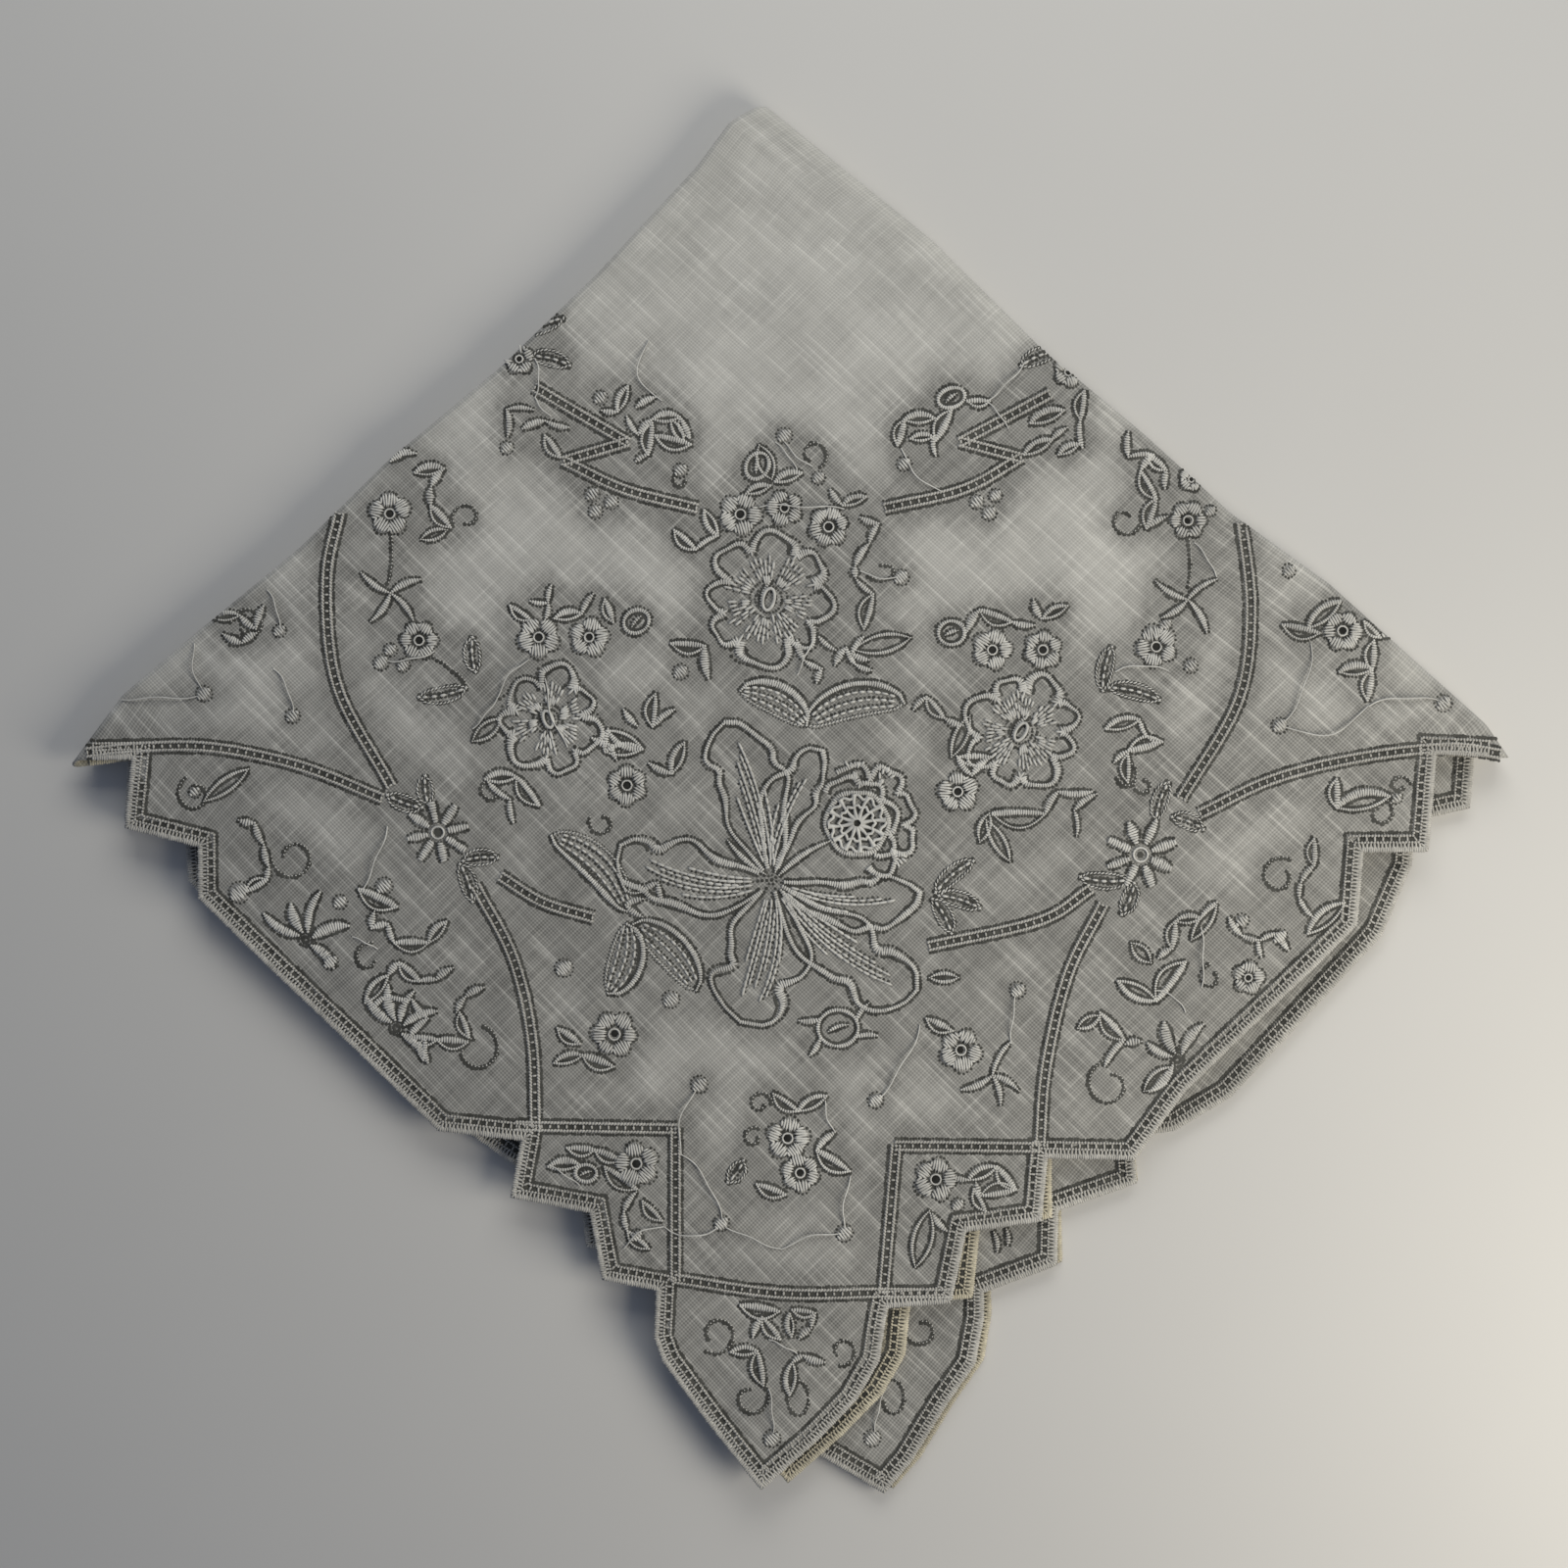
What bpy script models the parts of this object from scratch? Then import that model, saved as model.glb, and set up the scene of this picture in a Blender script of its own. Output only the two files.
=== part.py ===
"""A square linen handkerchief with stepped and scalloped hems, folded in quarters and lying flat.

The cloth is one sheet. It is folded first along its middle (the left fold), and the doubled cloth is
then folded again (the right fold), so four layers lie on each other. The cloth's middle is the corner
at the top, and the four hems lie together along the two lower sides, where they end in a pointed tab.
"""

import math

import bmesh
import bpy
import numpy as np

MM = 0.001

# The sheet and its stack of layers, in millimetres
SIDE = 155.0
SHEET = 1.0
PITCH = 1.35
LEFT_FOLD_RADIUS = PITCH / 2
RIGHT_FOLD_RADIUS = PITCH
STACK_MIDDLE = SHEET / 2 + 1.5 * PITCH
LEFT_FOLD_STEPS = 4
RIGHT_FOLD_STEPS = 6
WIDEST_STEP = 11.0

# Corners of the folded layers seen from above, in millimetres: x to the right, y up the cloth
CLOTH_MIDDLE = np.array((-4.7, 110.9))
RIGHT_TIP = np.array((112.4, 7.7))
LEFT_TIP_OF_TOP_PAIR = np.array((-113.7, 6.8))
LEFT_TIP_OF_LOWER_PAIR = np.array((-112.7, 7.1))
TAB_TIP_OF_TOP_PAIR = np.array((-5.0, -109.1))
TAB_TIP_OF_LOWER_PAIR = np.array((14.5, -110.9))
SLIP_OF_SECOND_LAYER = np.array((4.2, 0.5))
SLIP_OF_FOURTH_LAYER = np.array((1.5, 0.3))
SLIP_STARTS, SLIP_EASES = 0.45, 0.40

# The hems, one row for each corner of their steps: along from the fold, and out past the straight side,
# first for the top pair of layers and then for the lower pair, which lies askew under it
LEFT_HEM = (
    ("tip", 0.0, 0.5, 0.0, 0.0),
    ("notch", 6.0, -6.4, 4.2, -4.0),
    ("tooth", 12.9, 2.1, 10.1, 3.9),
    ("notch", 22.8, -4.4, 18.2, -0.6),
    ("tooth", 28.5, 1.2, 22.6, 4.0),
    ("scallop", 45.0, 0.5, 41.8, 5.4),
    ("scallop", 62.0, -0.5, 62.0, 5.4),
    ("tooth", 80.4, -1.3, 87.5, 1.2),
    ("notch", 90.3, -9.6, 94.1, -2.1),
    ("tooth", 95.5, -2.3, 99.8, 3.6),
    ("notch", 105.8, -9.6, 108.3, -2.8),
    ("tooth", 114.6, -3.9, 114.9, 2.5),
    ("notch", 121.6, -8.8, 121.6, -3.4),
    ("tab shoulder", 126.6, -3.6, 126.2, 0.8),
    ("tab side", 130.2, -2.1, 130.6, 2.1),
    ("tab side", 141.5, -0.8, 144.4, 2.6),
    ("tab tip", SIDE, 0.2, SIDE, 0.0),
)
RIGHT_HEM = (
    ("tip", 0.0, 1.9, 0.0, 1.0),
    ("notch", 7.2, -7.2, 3.2, -2.3),
    ("tooth", 18.5, 2.9, 9.7, 2.4),
    ("notch", 25.0, -4.3, 17.0, -3.1),
    ("tooth", 33.5, 3.2, 22.7, 0.1),
    ("scallop", 42.0, 2.6, 34.4, 2.9),
    ("scallop", 55.0, 1.6, 51.0, 1.7),
    ("scallop", 68.6, 1.6, 70.0, 0.3),
    ("tooth", 81.5, 4.3, 80.1, -3.1),
    ("notch", 90.3, -5.2, 85.3, -7.6),
    ("tooth", 97.6, 1.2, 90.4, -2.6),
    ("notch", 106.6, -6.0, 102.3, -9.0),
    ("tooth", 115.7, 0.3, 108.9, -3.8),
    ("notch", 122.9, -6.1, 120.2, -9.3),
    ("tab shoulder", 125.3, -4.4, 123.1, -6.8),
    ("tab side", 129.2, -1.3, 129.6, -3.1),
    ("tab side", 135.8, 0.6, 137.8, -2.2),
    ("tab side", 144.0, 0.7, 148.3, -0.4),
    ("tab tip", SIDE, 0.0, SIDE, 0.0),
)
SECOND_LAYER_TIP = 1.6
SECOND_LAYER_REACH = 7.0

# How far each fold's edge strays from straight: along it from the cloth's middle, and inward
LEFT_FOLD_EDGE = ((0, 0), (6, -1.5), (15, 0), (39, 1.4), (61, 1.6), (85, 0), (105, 0.3), (127, -1.3),
                  (142, -2.2), (SIDE, 0))
RIGHT_FOLD_EDGE = ((0, 0), (24, -1.1), (34, -1.5), (59, 0), (79, -0.6), (98, -0.3), (117, -2.2),
                   (149, -1.9), (SIDE, -0.4))
HEM_FADE = 26.0
FOLD_FADE = 40.0

# Soft swells of the stack: middle x and y, length, width, turn in degrees, and rise as a share
SWELLS = (
    ("along the left fold", -58.0, 56.0, 60.0, 11.0, 43.5, 0.20),
    ("along the right fold", 58.0, 60.0, 48.0, 10.0, -41.5, 0.15),
    ("left tip", -92.0, 4.0, 20.0, 12.0, 10.0, 0.12),
    ("right tip", 92.0, 8.0, 22.0, 10.0, -8.0, 0.16),
    ("middle", 4.0, 6.0, 44.0, 16.0, 78.0, 0.10),
    ("left scallop", -48.0, -36.0, 36.0, 9.0, -43.0, 0.10),
    ("right scallop", 56.0, -34.0, 34.0, 10.0, 42.0, 0.12),
    ("tab", -2.0, -92.0, 22.0, 9.0, 70.0, 0.18),
)


def fade(distance, reach):
    """1 at no distance, easing to 0 at the reach."""
    share = min(max(distance / reach, 0.0), 1.0)
    return 1.0 - share * share * (3.0 - 2.0 * share)


def read_table(rows, at, column_in, column_out):
    """The value of one column of a table, at a place along another."""
    places = [row[column_in] for row in rows]
    values = [row[column_out] for row in rows]
    return float(np.interp(at, places, values))


def lengths_of_cloth(rows, fold_reach, fold_length, fold_steps):
    """Lengths measured across the fold where the sheet gets a row of points, both ways from it."""
    flat = []
    places = [fold_reach] + [row[1] for row in rows if row[1] > fold_reach]
    for near, far in zip(places, places[1:]):
        steps = math.ceil((far - near) / WIDEST_STEP)
        flat += [near + (far - near) * (step + 1) / steps for step in range(steps)]
    one_way = [place - fold_reach + fold_length for place in flat]
    bend = np.linspace(-fold_length, fold_length, fold_steps + 1)
    return [-length for length in reversed(one_way)] + list(bend) + one_way


def across_left_fold(length, off_sheet):
    """Distance in from the left fold, height off the middle of the pair of layers, and outer weight."""
    angle = min(max(length / LEFT_FOLD_RADIUS, -math.pi / 2), math.pi / 2)
    flat = max(abs(length) - LEFT_FOLD_RADIUS * math.pi / 2, 0.0)
    radius = LEFT_FOLD_RADIUS + off_sheet
    inward = LEFT_FOLD_RADIUS - radius * math.cos(angle) + flat
    return inward, radius * math.sin(angle), (1 + math.sin(angle)) / 2


def across_right_fold(length, off_pair):
    """Distance in from the right fold, height, and the top pair's weight, for a point off its pair."""
    angle = min(max(length / RIGHT_FOLD_RADIUS, -math.pi / 2), math.pi / 2)
    flat = max(abs(length) - RIGHT_FOLD_RADIUS * math.pi / 2, 0.0)
    radius = RIGHT_FOLD_RADIUS + off_pair
    inward = RIGHT_FOLD_RADIUS + LEFT_FOLD_RADIUS - radius * math.cos(angle) + flat
    return inward, STACK_MIDDLE + radius * math.sin(angle), (1 + math.sin(angle)) / 2


def hem_corner(rows, along, top):
    """A hem's shift along its side and its reach past it, for a layer of the given pair weight."""
    shift = (1 - top) * (read_table(rows, along, 1, 3) - along)
    out = top * read_table(rows, along, 1, 2) + (1 - top) * read_table(rows, along, 1, 4)
    return shift, out


def seen_from_above(right, left, top, outer):
    """Plan place of a point: its distances down the right and left sides, and its layer's weights."""
    near_left_hem = fade(SIDE - left, HEM_FADE)
    near_right_hem = fade(SIDE - right, HEM_FADE)
    left_hem_shift, left_hem_out = hem_corner(LEFT_HEM, right, top)
    right_hem_shift, right_hem_out = hem_corner(RIGHT_HEM, left, top)
    left_hem_out += SECOND_LAYER_TIP * (1 - outer) * top * fade(right, SECOND_LAYER_REACH)
    inward_left = read_table(LEFT_FOLD_EDGE, left, 0, 1) * fade(right, FOLD_FADE)
    inward_right = read_table(RIGHT_FOLD_EDGE, right, 0, 1) * fade(left, FOLD_FADE)
    u = (right + inward_left + near_right_hem * right_hem_out + near_left_hem * left_hem_shift) / SIDE
    v = (left + inward_right + near_left_hem * left_hem_out + near_right_hem * right_hem_shift) / SIDE
    left_tip = top * LEFT_TIP_OF_TOP_PAIR + (1 - top) * LEFT_TIP_OF_LOWER_PAIR
    tab_tip = top * TAB_TIP_OF_TOP_PAIR + (1 - top) * TAB_TIP_OF_LOWER_PAIR
    slip = top * (1 - outer) * SLIP_OF_SECOND_LAYER + (1 - top) * outer * SLIP_OF_FOURTH_LAYER
    slip = slip * (1 - fade(u * v - SLIP_STARTS, SLIP_EASES))
    near_middle = (1 - u) * (1 - v) * CLOTH_MIDDLE + u * (1 - v) * RIGHT_TIP
    return near_middle + (1 - u) * v * left_tip + u * v * tab_tip + slip


def swell(x, y):
    """How much the stack is loosened at a place, as a share of its height."""
    total = 0.0
    for _name, middle_x, middle_y, length, width, turn, rise in SWELLS:
        cosine, sine = math.cos(math.radians(turn)), math.sin(math.radians(turn))
        along = (x - middle_x) * cosine + (y - middle_y) * sine
        across = (y - middle_y) * cosine - (x - middle_x) * sine
        total += rise * math.exp(-(along / length) ** 2 - (across / width) ** 2)
    return total


def cloth_point(left_length, right_length, off_sheet):
    """Place of a point off the sheet's middle, from its lengths across the left and the right fold."""
    right, off_pair, outer = across_left_fold(left_length, off_sheet)
    left, height, top = across_right_fold(right_length, off_pair)
    x, y = seen_from_above(right, left, top, outer)
    height += max(height - SHEET, 0.0) * swell(x, y)
    return x, y, height


def linen_finish():
    """Fine grey-white linen, plain-woven."""
    material = bpy.data.materials.new("linen")
    material.use_nodes = True
    shader = material.node_tree.nodes["Principled BSDF"]
    shader.inputs["Base Color"].default_value = (0.52, 0.51, 0.47, 1.0)
    shader.inputs["Roughness"].default_value = 0.85
    shader.inputs["Metallic"].default_value = 0.0
    return material


def make_face(sheet, left_lengths, right_lengths, off_sheet):
    """One face of the folded sheet, as rows of points over the flat cloth joined by quads."""
    grid = []
    for left_length in left_lengths:
        points = [cloth_point(left_length, right_length, off_sheet) for right_length in right_lengths]
        grid.append([sheet.verts.new(np.array(point) * MM) for point in points])
    for row, next_row in zip(grid, grid[1:]):
        for a, b, c, d in zip(row, row[1:], next_row[1:], next_row):
            sheet.faces.new((a, b, c, d))
    return grid


def rim_of(grid):
    """The points round the edge of a grid, in order."""
    right_end = [row[-1] for row in grid[1:-1]]
    left_end = [row[0] for row in reversed(grid[1:-1])]
    return grid[0] + right_end + list(reversed(grid[-1])) + left_end


def make_cloth():
    """The folded sheet as one closed solid: its outer face, its inner face, and the hem's rim."""
    left_lengths = lengths_of_cloth(LEFT_HEM, LEFT_FOLD_RADIUS, LEFT_FOLD_RADIUS * math.pi / 2,
                                    LEFT_FOLD_STEPS)
    right_lengths = lengths_of_cloth(RIGHT_HEM, RIGHT_FOLD_RADIUS + LEFT_FOLD_RADIUS,
                                     RIGHT_FOLD_RADIUS * math.pi / 2, RIGHT_FOLD_STEPS)
    sheet = bmesh.new()
    outer_rim = rim_of(make_face(sheet, left_lengths, right_lengths, SHEET / 2))
    inner_rim = rim_of(make_face(sheet, left_lengths, right_lengths, -SHEET / 2))
    for at, (outer_point, inner_point) in enumerate(zip(outer_rim, inner_rim)):
        sheet.faces.new((outer_rim[at - 1], outer_point, inner_point, inner_rim[at - 1]))
    bmesh.ops.recalc_face_normals(sheet, faces=sheet.faces[:])
    mesh = bpy.data.meshes.new("linen_cloth")
    sheet.to_mesh(mesh)
    sheet.free()
    mesh.materials.append(linen_finish())
    cloth = bpy.data.objects.new("linen_cloth", mesh)
    bpy.context.scene.collection.objects.link(cloth)
    return cloth


def stand_at_origin(cloth):
    """Moves the cloth's points so that its box stands on the origin by the middle of its base."""
    corners = np.array([vertex.co for vertex in cloth.data.vertices])
    low, high = corners.min(axis=0), corners.max(axis=0)
    base_middle = np.array(((low[0] + high[0]) / 2, (low[1] + high[1]) / 2, low[2]))
    for vertex in cloth.data.vertices:
        vertex.co = np.array(vertex.co) - base_middle


for old in list(bpy.data.objects):
    bpy.data.objects.remove(old, do_unlink=True)
stand_at_origin(make_cloth())
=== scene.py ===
"""A square linen handkerchief with drawn-thread hems and whitework flowers, folded in quarters."""

import math

import bmesh
import bpy
import numpy as np
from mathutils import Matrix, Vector


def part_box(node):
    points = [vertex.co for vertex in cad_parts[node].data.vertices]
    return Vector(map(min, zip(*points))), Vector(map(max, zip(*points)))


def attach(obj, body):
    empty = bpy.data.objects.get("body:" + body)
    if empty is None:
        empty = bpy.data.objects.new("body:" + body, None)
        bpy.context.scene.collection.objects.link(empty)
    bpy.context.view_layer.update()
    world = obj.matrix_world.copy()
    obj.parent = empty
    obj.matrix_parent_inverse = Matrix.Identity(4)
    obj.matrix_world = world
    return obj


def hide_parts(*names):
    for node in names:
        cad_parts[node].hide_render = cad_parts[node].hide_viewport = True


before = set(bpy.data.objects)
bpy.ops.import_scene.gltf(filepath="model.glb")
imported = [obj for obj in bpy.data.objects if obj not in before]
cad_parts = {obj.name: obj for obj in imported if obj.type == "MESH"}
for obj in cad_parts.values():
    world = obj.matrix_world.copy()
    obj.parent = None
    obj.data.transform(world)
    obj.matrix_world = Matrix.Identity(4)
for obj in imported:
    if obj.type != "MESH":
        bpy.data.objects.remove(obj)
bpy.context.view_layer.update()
MM = 0.001

# The folded sheet, in millimetres, as in the part's source
SIDE = 155.0
SOLID_SHEET = 1.0
PITCH = 1.35
LEFT_FOLD_RADIUS = PITCH / 2
RIGHT_FOLD_RADIUS = PITCH
STACK_MIDDLE = SOLID_SHEET / 2 + 1.5 * PITCH
CLOTH_MIDDLE = np.array((-4.7, 110.9))
RIGHT_TIP = np.array((112.4, 7.7))
LEFT_TIP_OF_TOP_PAIR = np.array((-113.7, 6.8))
LEFT_TIP_OF_LOWER_PAIR = np.array((-112.7, 7.1))
TAB_TIP_OF_TOP_PAIR = np.array((-5.0, -109.1))
TAB_TIP_OF_LOWER_PAIR = np.array((14.5, -110.9))
SLIP_OF_SECOND_LAYER = np.array((4.2, 0.5))
SLIP_OF_FOURTH_LAYER = np.array((1.5, 0.3))
SLIP_STARTS, SLIP_EASES = 0.45, 0.40

# The hems' corners: along from the fold, and out past the straight side, for the top and the lower pair.
# The right hem's lower pair and its scallops reach out 1 or 2 mm further than on the solid
LEFT_HEM = (
    ("tip", 0.0, 0.5, 0.0, 0.0),
    ("notch", 6.0, -6.4, 4.2, -4.0),
    ("tooth", 12.9, 2.1, 10.1, 3.9),
    ("notch", 22.8, -4.4, 18.2, -0.6),
    ("tooth", 28.5, 1.2, 22.6, 4.0),
    ("scallop", 45.0, 0.5, 41.8, 5.4),
    ("scallop", 62.0, -0.5, 62.0, 5.4),
    ("tooth", 80.4, -1.3, 87.5, 1.2),
    ("notch", 90.3, -9.6, 94.1, -2.1),
    ("tooth", 95.5, -2.3, 99.8, 3.6),
    ("notch", 105.8, -9.6, 108.3, -2.8),
    ("tooth", 114.6, -3.9, 114.9, 2.5),
    ("notch", 121.6, -8.8, 121.6, -3.4),
    ("tab shoulder", 126.6, -3.6, 126.2, 0.8),
    ("tab side", 130.2, -2.1, 130.6, 2.1),
    ("tab side", 141.5, -0.8, 144.4, 2.6),
    ("tab tip", SIDE, 0.2, SIDE, 0.0),
)
RIGHT_HEM = (
    ("tip", 0.0, 1.9, 0.0, 1.0),
    ("notch", 7.2, -7.2, 3.2, -2.3),
    ("tooth", 18.5, 2.9, 9.7, 2.4),
    ("notch", 25.0, -4.3, 17.0, -3.1),
    ("tooth", 33.5, 3.2, 22.7, 1.1),
    ("scallop", 42.0, 3.2, 34.4, 4.4),
    ("scallop", 55.0, 2.8, 51.0, 3.4),
    ("scallop", 68.6, 2.6, 70.0, 2.2),
    ("tooth", 81.5, 4.6, 80.1, -1.1),
    ("notch", 90.3, -5.2, 85.3, -5.4),
    ("tooth", 97.6, 1.2, 90.4, -0.4),
    ("notch", 106.6, -6.0, 102.3, -6.8),
    ("tooth", 115.7, 0.3, 108.9, -1.8),
    ("notch", 122.9, -6.1, 120.2, -7.5),
    ("tab shoulder", 125.3, -4.4, 123.1, -5.2),
    ("tab side", 129.2, -1.3, 129.6, -1.8),
    ("tab side", 135.8, 0.6, 137.8, -1.2),
    ("tab side", 144.0, 0.7, 148.3, 0.1),
    ("tab tip", SIDE, 0.0, SIDE, 0.0),
)
SECOND_LAYER_TIP = 1.6
SECOND_LAYER_REACH = 7.0
LEFT_FOLD_EDGE = ((0, 0), (6, -1.5), (15, 0), (39, 1.4), (61, 1.6), (85, 0), (105, 0.3), (127, -1.3),
                  (142, -2.2), (SIDE, 0))
RIGHT_FOLD_EDGE = ((0, 0), (24, -1.1), (34, -1.5), (59, 0), (79, -0.6), (98, -0.3), (117, -2.2),
                   (149, -1.9), (SIDE, -0.4))
HEM_FADE = 26.0
FOLD_FADE = 40.0
# Swells of the stack: middle x and y, length, width, turn in degrees, and rise as a share
SWELLS = (
    ("along the left fold", -58.0, 56.0, 60.0, 11.0, 43.5, 0.20),
    ("along the right fold", 58.0, 60.0, 48.0, 10.0, -41.5, 0.15),
    ("left tip", -92.0, 4.0, 20.0, 12.0, 10.0, 0.12),
    ("right tip", 92.0, 8.0, 22.0, 10.0, -8.0, 0.16),
    ("middle", 4.0, 6.0, 44.0, 16.0, 78.0, 0.10),
    ("left scallop", -48.0, -36.0, 36.0, 9.0, -43.0, 0.10),
    ("right scallop", 56.0, -34.0, 34.0, 10.0, 42.0, 0.12),
    ("tab", -2.0, -92.0, 22.0, 9.0, 70.0, 0.18),
)

# The linen is thinner than the solid's sheet: its lowest face lies on the surface and its highest one
# stays level with the solid's
LINEN = 0.45
LOWEST_FACE = (SOLID_SHEET - LINEN) / 2
HIGHEST_FACE = STACK_MIDDLE + 1.5 * PITCH + LINEN / 2
LIFT = (HIGHEST_FACE + LOWEST_FACE) / (HIGHEST_FACE - LOWEST_FACE)
FINE_STEP = 1.0
COARSE_STEP = 3.4


def fade(distance, reach):
    """1 at no distance, easing to 0 at the reach."""
    share = np.clip(distance / reach, 0.0, 1.0)
    return 1.0 - share * share * (3.0 - 2.0 * share)


def read_table(rows, at, column_in, column_out):
    """The value of one column of a table, at places along another."""
    return np.interp(at, [row[column_in] for row in rows], [row[column_out] for row in rows])


def across_fold(length, radius, off, within=0.0):
    """Distance in from a fold, height off its middle, and the weight of the half on top."""
    angle = np.clip(length / radius, -math.pi / 2, math.pi / 2)
    flat = np.maximum(np.abs(length) - radius * math.pi / 2, 0.0)
    inward = radius + within - (radius + off) * np.cos(angle) + flat
    return inward, (radius + off) * np.sin(angle), (1 + np.sin(angle)) / 2


def down_the_sides(left_length, right_length, off_sheet=0.0):
    """Distances down the right and left sides, height, and layer weights, from lengths across the folds."""
    right, off_pair, outer = across_fold(left_length, LEFT_FOLD_RADIUS, off_sheet)
    left, height, top = across_fold(right_length, RIGHT_FOLD_RADIUS, off_pair, LEFT_FOLD_RADIUS)
    return right, left, top, outer, STACK_MIDDLE + height


def hem_corner(rows, along, top):
    """A hem's shift along its side and its reach past it, for a layer of the given pair weight."""
    shift = (1 - top) * (read_table(rows, along, 1, 3) - along)
    out = top * read_table(rows, along, 1, 2) + (1 - top) * read_table(rows, along, 1, 4)
    return shift, out


def hem_moves(right, left, top, outer):
    """How far the hems' shapes carry points of the sheet, down the right and the left side."""
    near_left_hem = fade(SIDE - left, HEM_FADE)
    near_right_hem = fade(SIDE - right, HEM_FADE)
    left_hem_shift, left_hem_out = hem_corner(LEFT_HEM, right, top)
    right_hem_shift, right_hem_out = hem_corner(RIGHT_HEM, left, top)
    left_hem_out = left_hem_out + SECOND_LAYER_TIP * (1 - outer) * top * fade(right, SECOND_LAYER_REACH)
    return (near_right_hem * right_hem_out + near_left_hem * left_hem_shift,
            near_left_hem * left_hem_out + near_right_hem * right_hem_shift)


def seen_from_above(right, left, top, outer):
    """Plan places of points: distances down the right and left sides, and their layer's weights."""
    right, left, top, outer = np.broadcast_arrays(*(np.asarray(a, float) for a in (right, left, top, outer)))
    move_right, move_left = hem_moves(right, left, top, outer)
    inward_left = read_table(LEFT_FOLD_EDGE, left, 0, 1) * fade(right, FOLD_FADE)
    inward_right = read_table(RIGHT_FOLD_EDGE, right, 0, 1) * fade(left, FOLD_FADE)
    u = (right + inward_left + move_right) / SIDE
    v = (left + inward_right + move_left) / SIDE
    slip_share = 1 - fade(u * v - SLIP_STARTS, SLIP_EASES)
    u, v, top, outer, slip_share = (a[..., None] for a in (u, v, top, outer, slip_share))
    left_tip = top * LEFT_TIP_OF_TOP_PAIR + (1 - top) * LEFT_TIP_OF_LOWER_PAIR
    tab_tip = top * TAB_TIP_OF_TOP_PAIR + (1 - top) * TAB_TIP_OF_LOWER_PAIR
    slip = top * (1 - outer) * SLIP_OF_SECOND_LAYER + (1 - top) * outer * SLIP_OF_FOURTH_LAYER
    near_middle = (1 - u) * (1 - v) * CLOTH_MIDDLE + u * (1 - v) * RIGHT_TIP
    return near_middle + (1 - u) * v * left_tip + u * v * tab_tip + slip * slip_share


def hump(x, y, row):
    """One soft oval of a table of swells or creases, 1 at its middle and 0 far from it."""
    _name, middle_x, middle_y, length, width, turn, _rise = row
    cosine, sine = math.cos(math.radians(turn)), math.sin(math.radians(turn))
    along = (x - middle_x) * cosine + (y - middle_y) * sine
    across = (y - middle_y) * cosine - (x - middle_x) * sine
    return np.exp(-(along / length) ** 2 - (across / width) ** 2)


def raised(x, y, height):
    """A height in the solid's stack, once the stack has swelled and come down to the linen's own."""
    swelled = sum(row[-1] * hump(x, y, row) for row in SWELLS)
    height = height + np.maximum(height - SOLID_SHEET, 0.0) * swelled
    return (height - LOWEST_FACE) * LIFT


# Creases and puckers of the top layer: middle x and y, length, width, turn in degrees, rise in mm
CREASES = (
    ("soft ridge by the left fold", -52.0, 52.0, 40.0, 3.0, 43.0, 0.22),
    ("trough by the left fold", -46.0, 47.0, 36.0, 3.5, 43.0, -0.16),
    ("ridge by the right fold", 52.0, 55.0, 36.0, 3.0, -41.0, 0.18),
    ("trough by the right fold", 46.0, 50.0, 30.0, 3.5, -41.0, -0.14),
    ("trough over the centre flower", -20.0, -4.0, 26.0, 4.0, 12.0, -0.16),
    ("ridge under the centre flower", 2.0, -24.0, 22.0, 4.5, -30.0, 0.18),
    ("ridge to the left tip", -96.0, 9.0, 14.0, 3.0, 24.0, 0.26),
    ("trough to the left tip", -88.0, 4.0, 14.0, 3.0, 12.0, -0.22),
    ("ridge to the right tip", 96.0, 12.0, 15.0, 3.2, -20.0, 0.28),
    ("trough to the right tip", 88.0, 6.0, 16.0, 3.0, -12.0, -0.22),
    ("left hem ridge", -62.0, -33.0, 26.0, 3.0, -42.0, 0.20),
    ("right hem ridge", 68.0, -30.0, 28.0, 3.4, 41.0, 0.24),
    ("tab ridge", 4.0, -90.0, 13.0, 3.2, 64.0, 0.24),
    ("tab trough", -9.0, -88.0, 13.0, 3.2, 70.0, -0.16),
    ("left step ridge", -27.0, -64.0, 8.0, 3.0, 80.0, 0.18),
    ("right step ridge", 27.0, -66.0, 8.0, 3.0, 70.0, 0.20),
)
PUCKER_SEED = 41
PUCKERS = 0.10
HILLS = 96


def smooth_noise(x, y, grain, seed):
    """Soft random hills from -1 to 1, about grain millimetres across."""
    rng = np.random.default_rng(seed)
    table = rng.uniform(-1, 1, (HILLS, HILLS))
    gx, gy = x / grain + HILLS / 2, y / grain + HILLS / 2
    ix, iy = np.floor(gx).astype(int), np.floor(gy).astype(int)
    fx, fy = gx - ix, gy - iy
    fx, fy = fx * fx * (3 - 2 * fx), fy * fy * (3 - 2 * fy)
    ix, iy = ix % (HILLS - 1), iy % (HILLS - 1)
    low = table[ix, iy] * (1 - fx) + table[ix + 1, iy] * fx
    high = table[ix, iy + 1] * (1 - fx) + table[ix + 1, iy + 1] * fx
    return low * (1 - fy) + high * fy


def relief(x, y):
    """Creases and puckers, in millimetres, where the cloth is at the top of the stack."""
    worked = 1 - fade(102.0 - y, 70.0)
    creases = sum(row[-1] * hump(x, y, row) for row in CREASES)
    puckers = smooth_noise(x, y, 5.5, PUCKER_SEED) + 0.5 * smooth_noise(x, y, 2.6, PUCKER_SEED + 1)
    return creases + PUCKERS * puckers * (0.3 + 0.7 * worked)


def face_height(x, y, height):
    """Height above the surface of a point of the linen at a height in the solid's stack."""
    share = np.clip((height - SOLID_SHEET) / (STACK_MIDDLE + 1.5 * PITCH - SOLID_SHEET), 0.0, 1.0)
    return raised(x, y, height) + share * relief(x, y)


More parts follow.
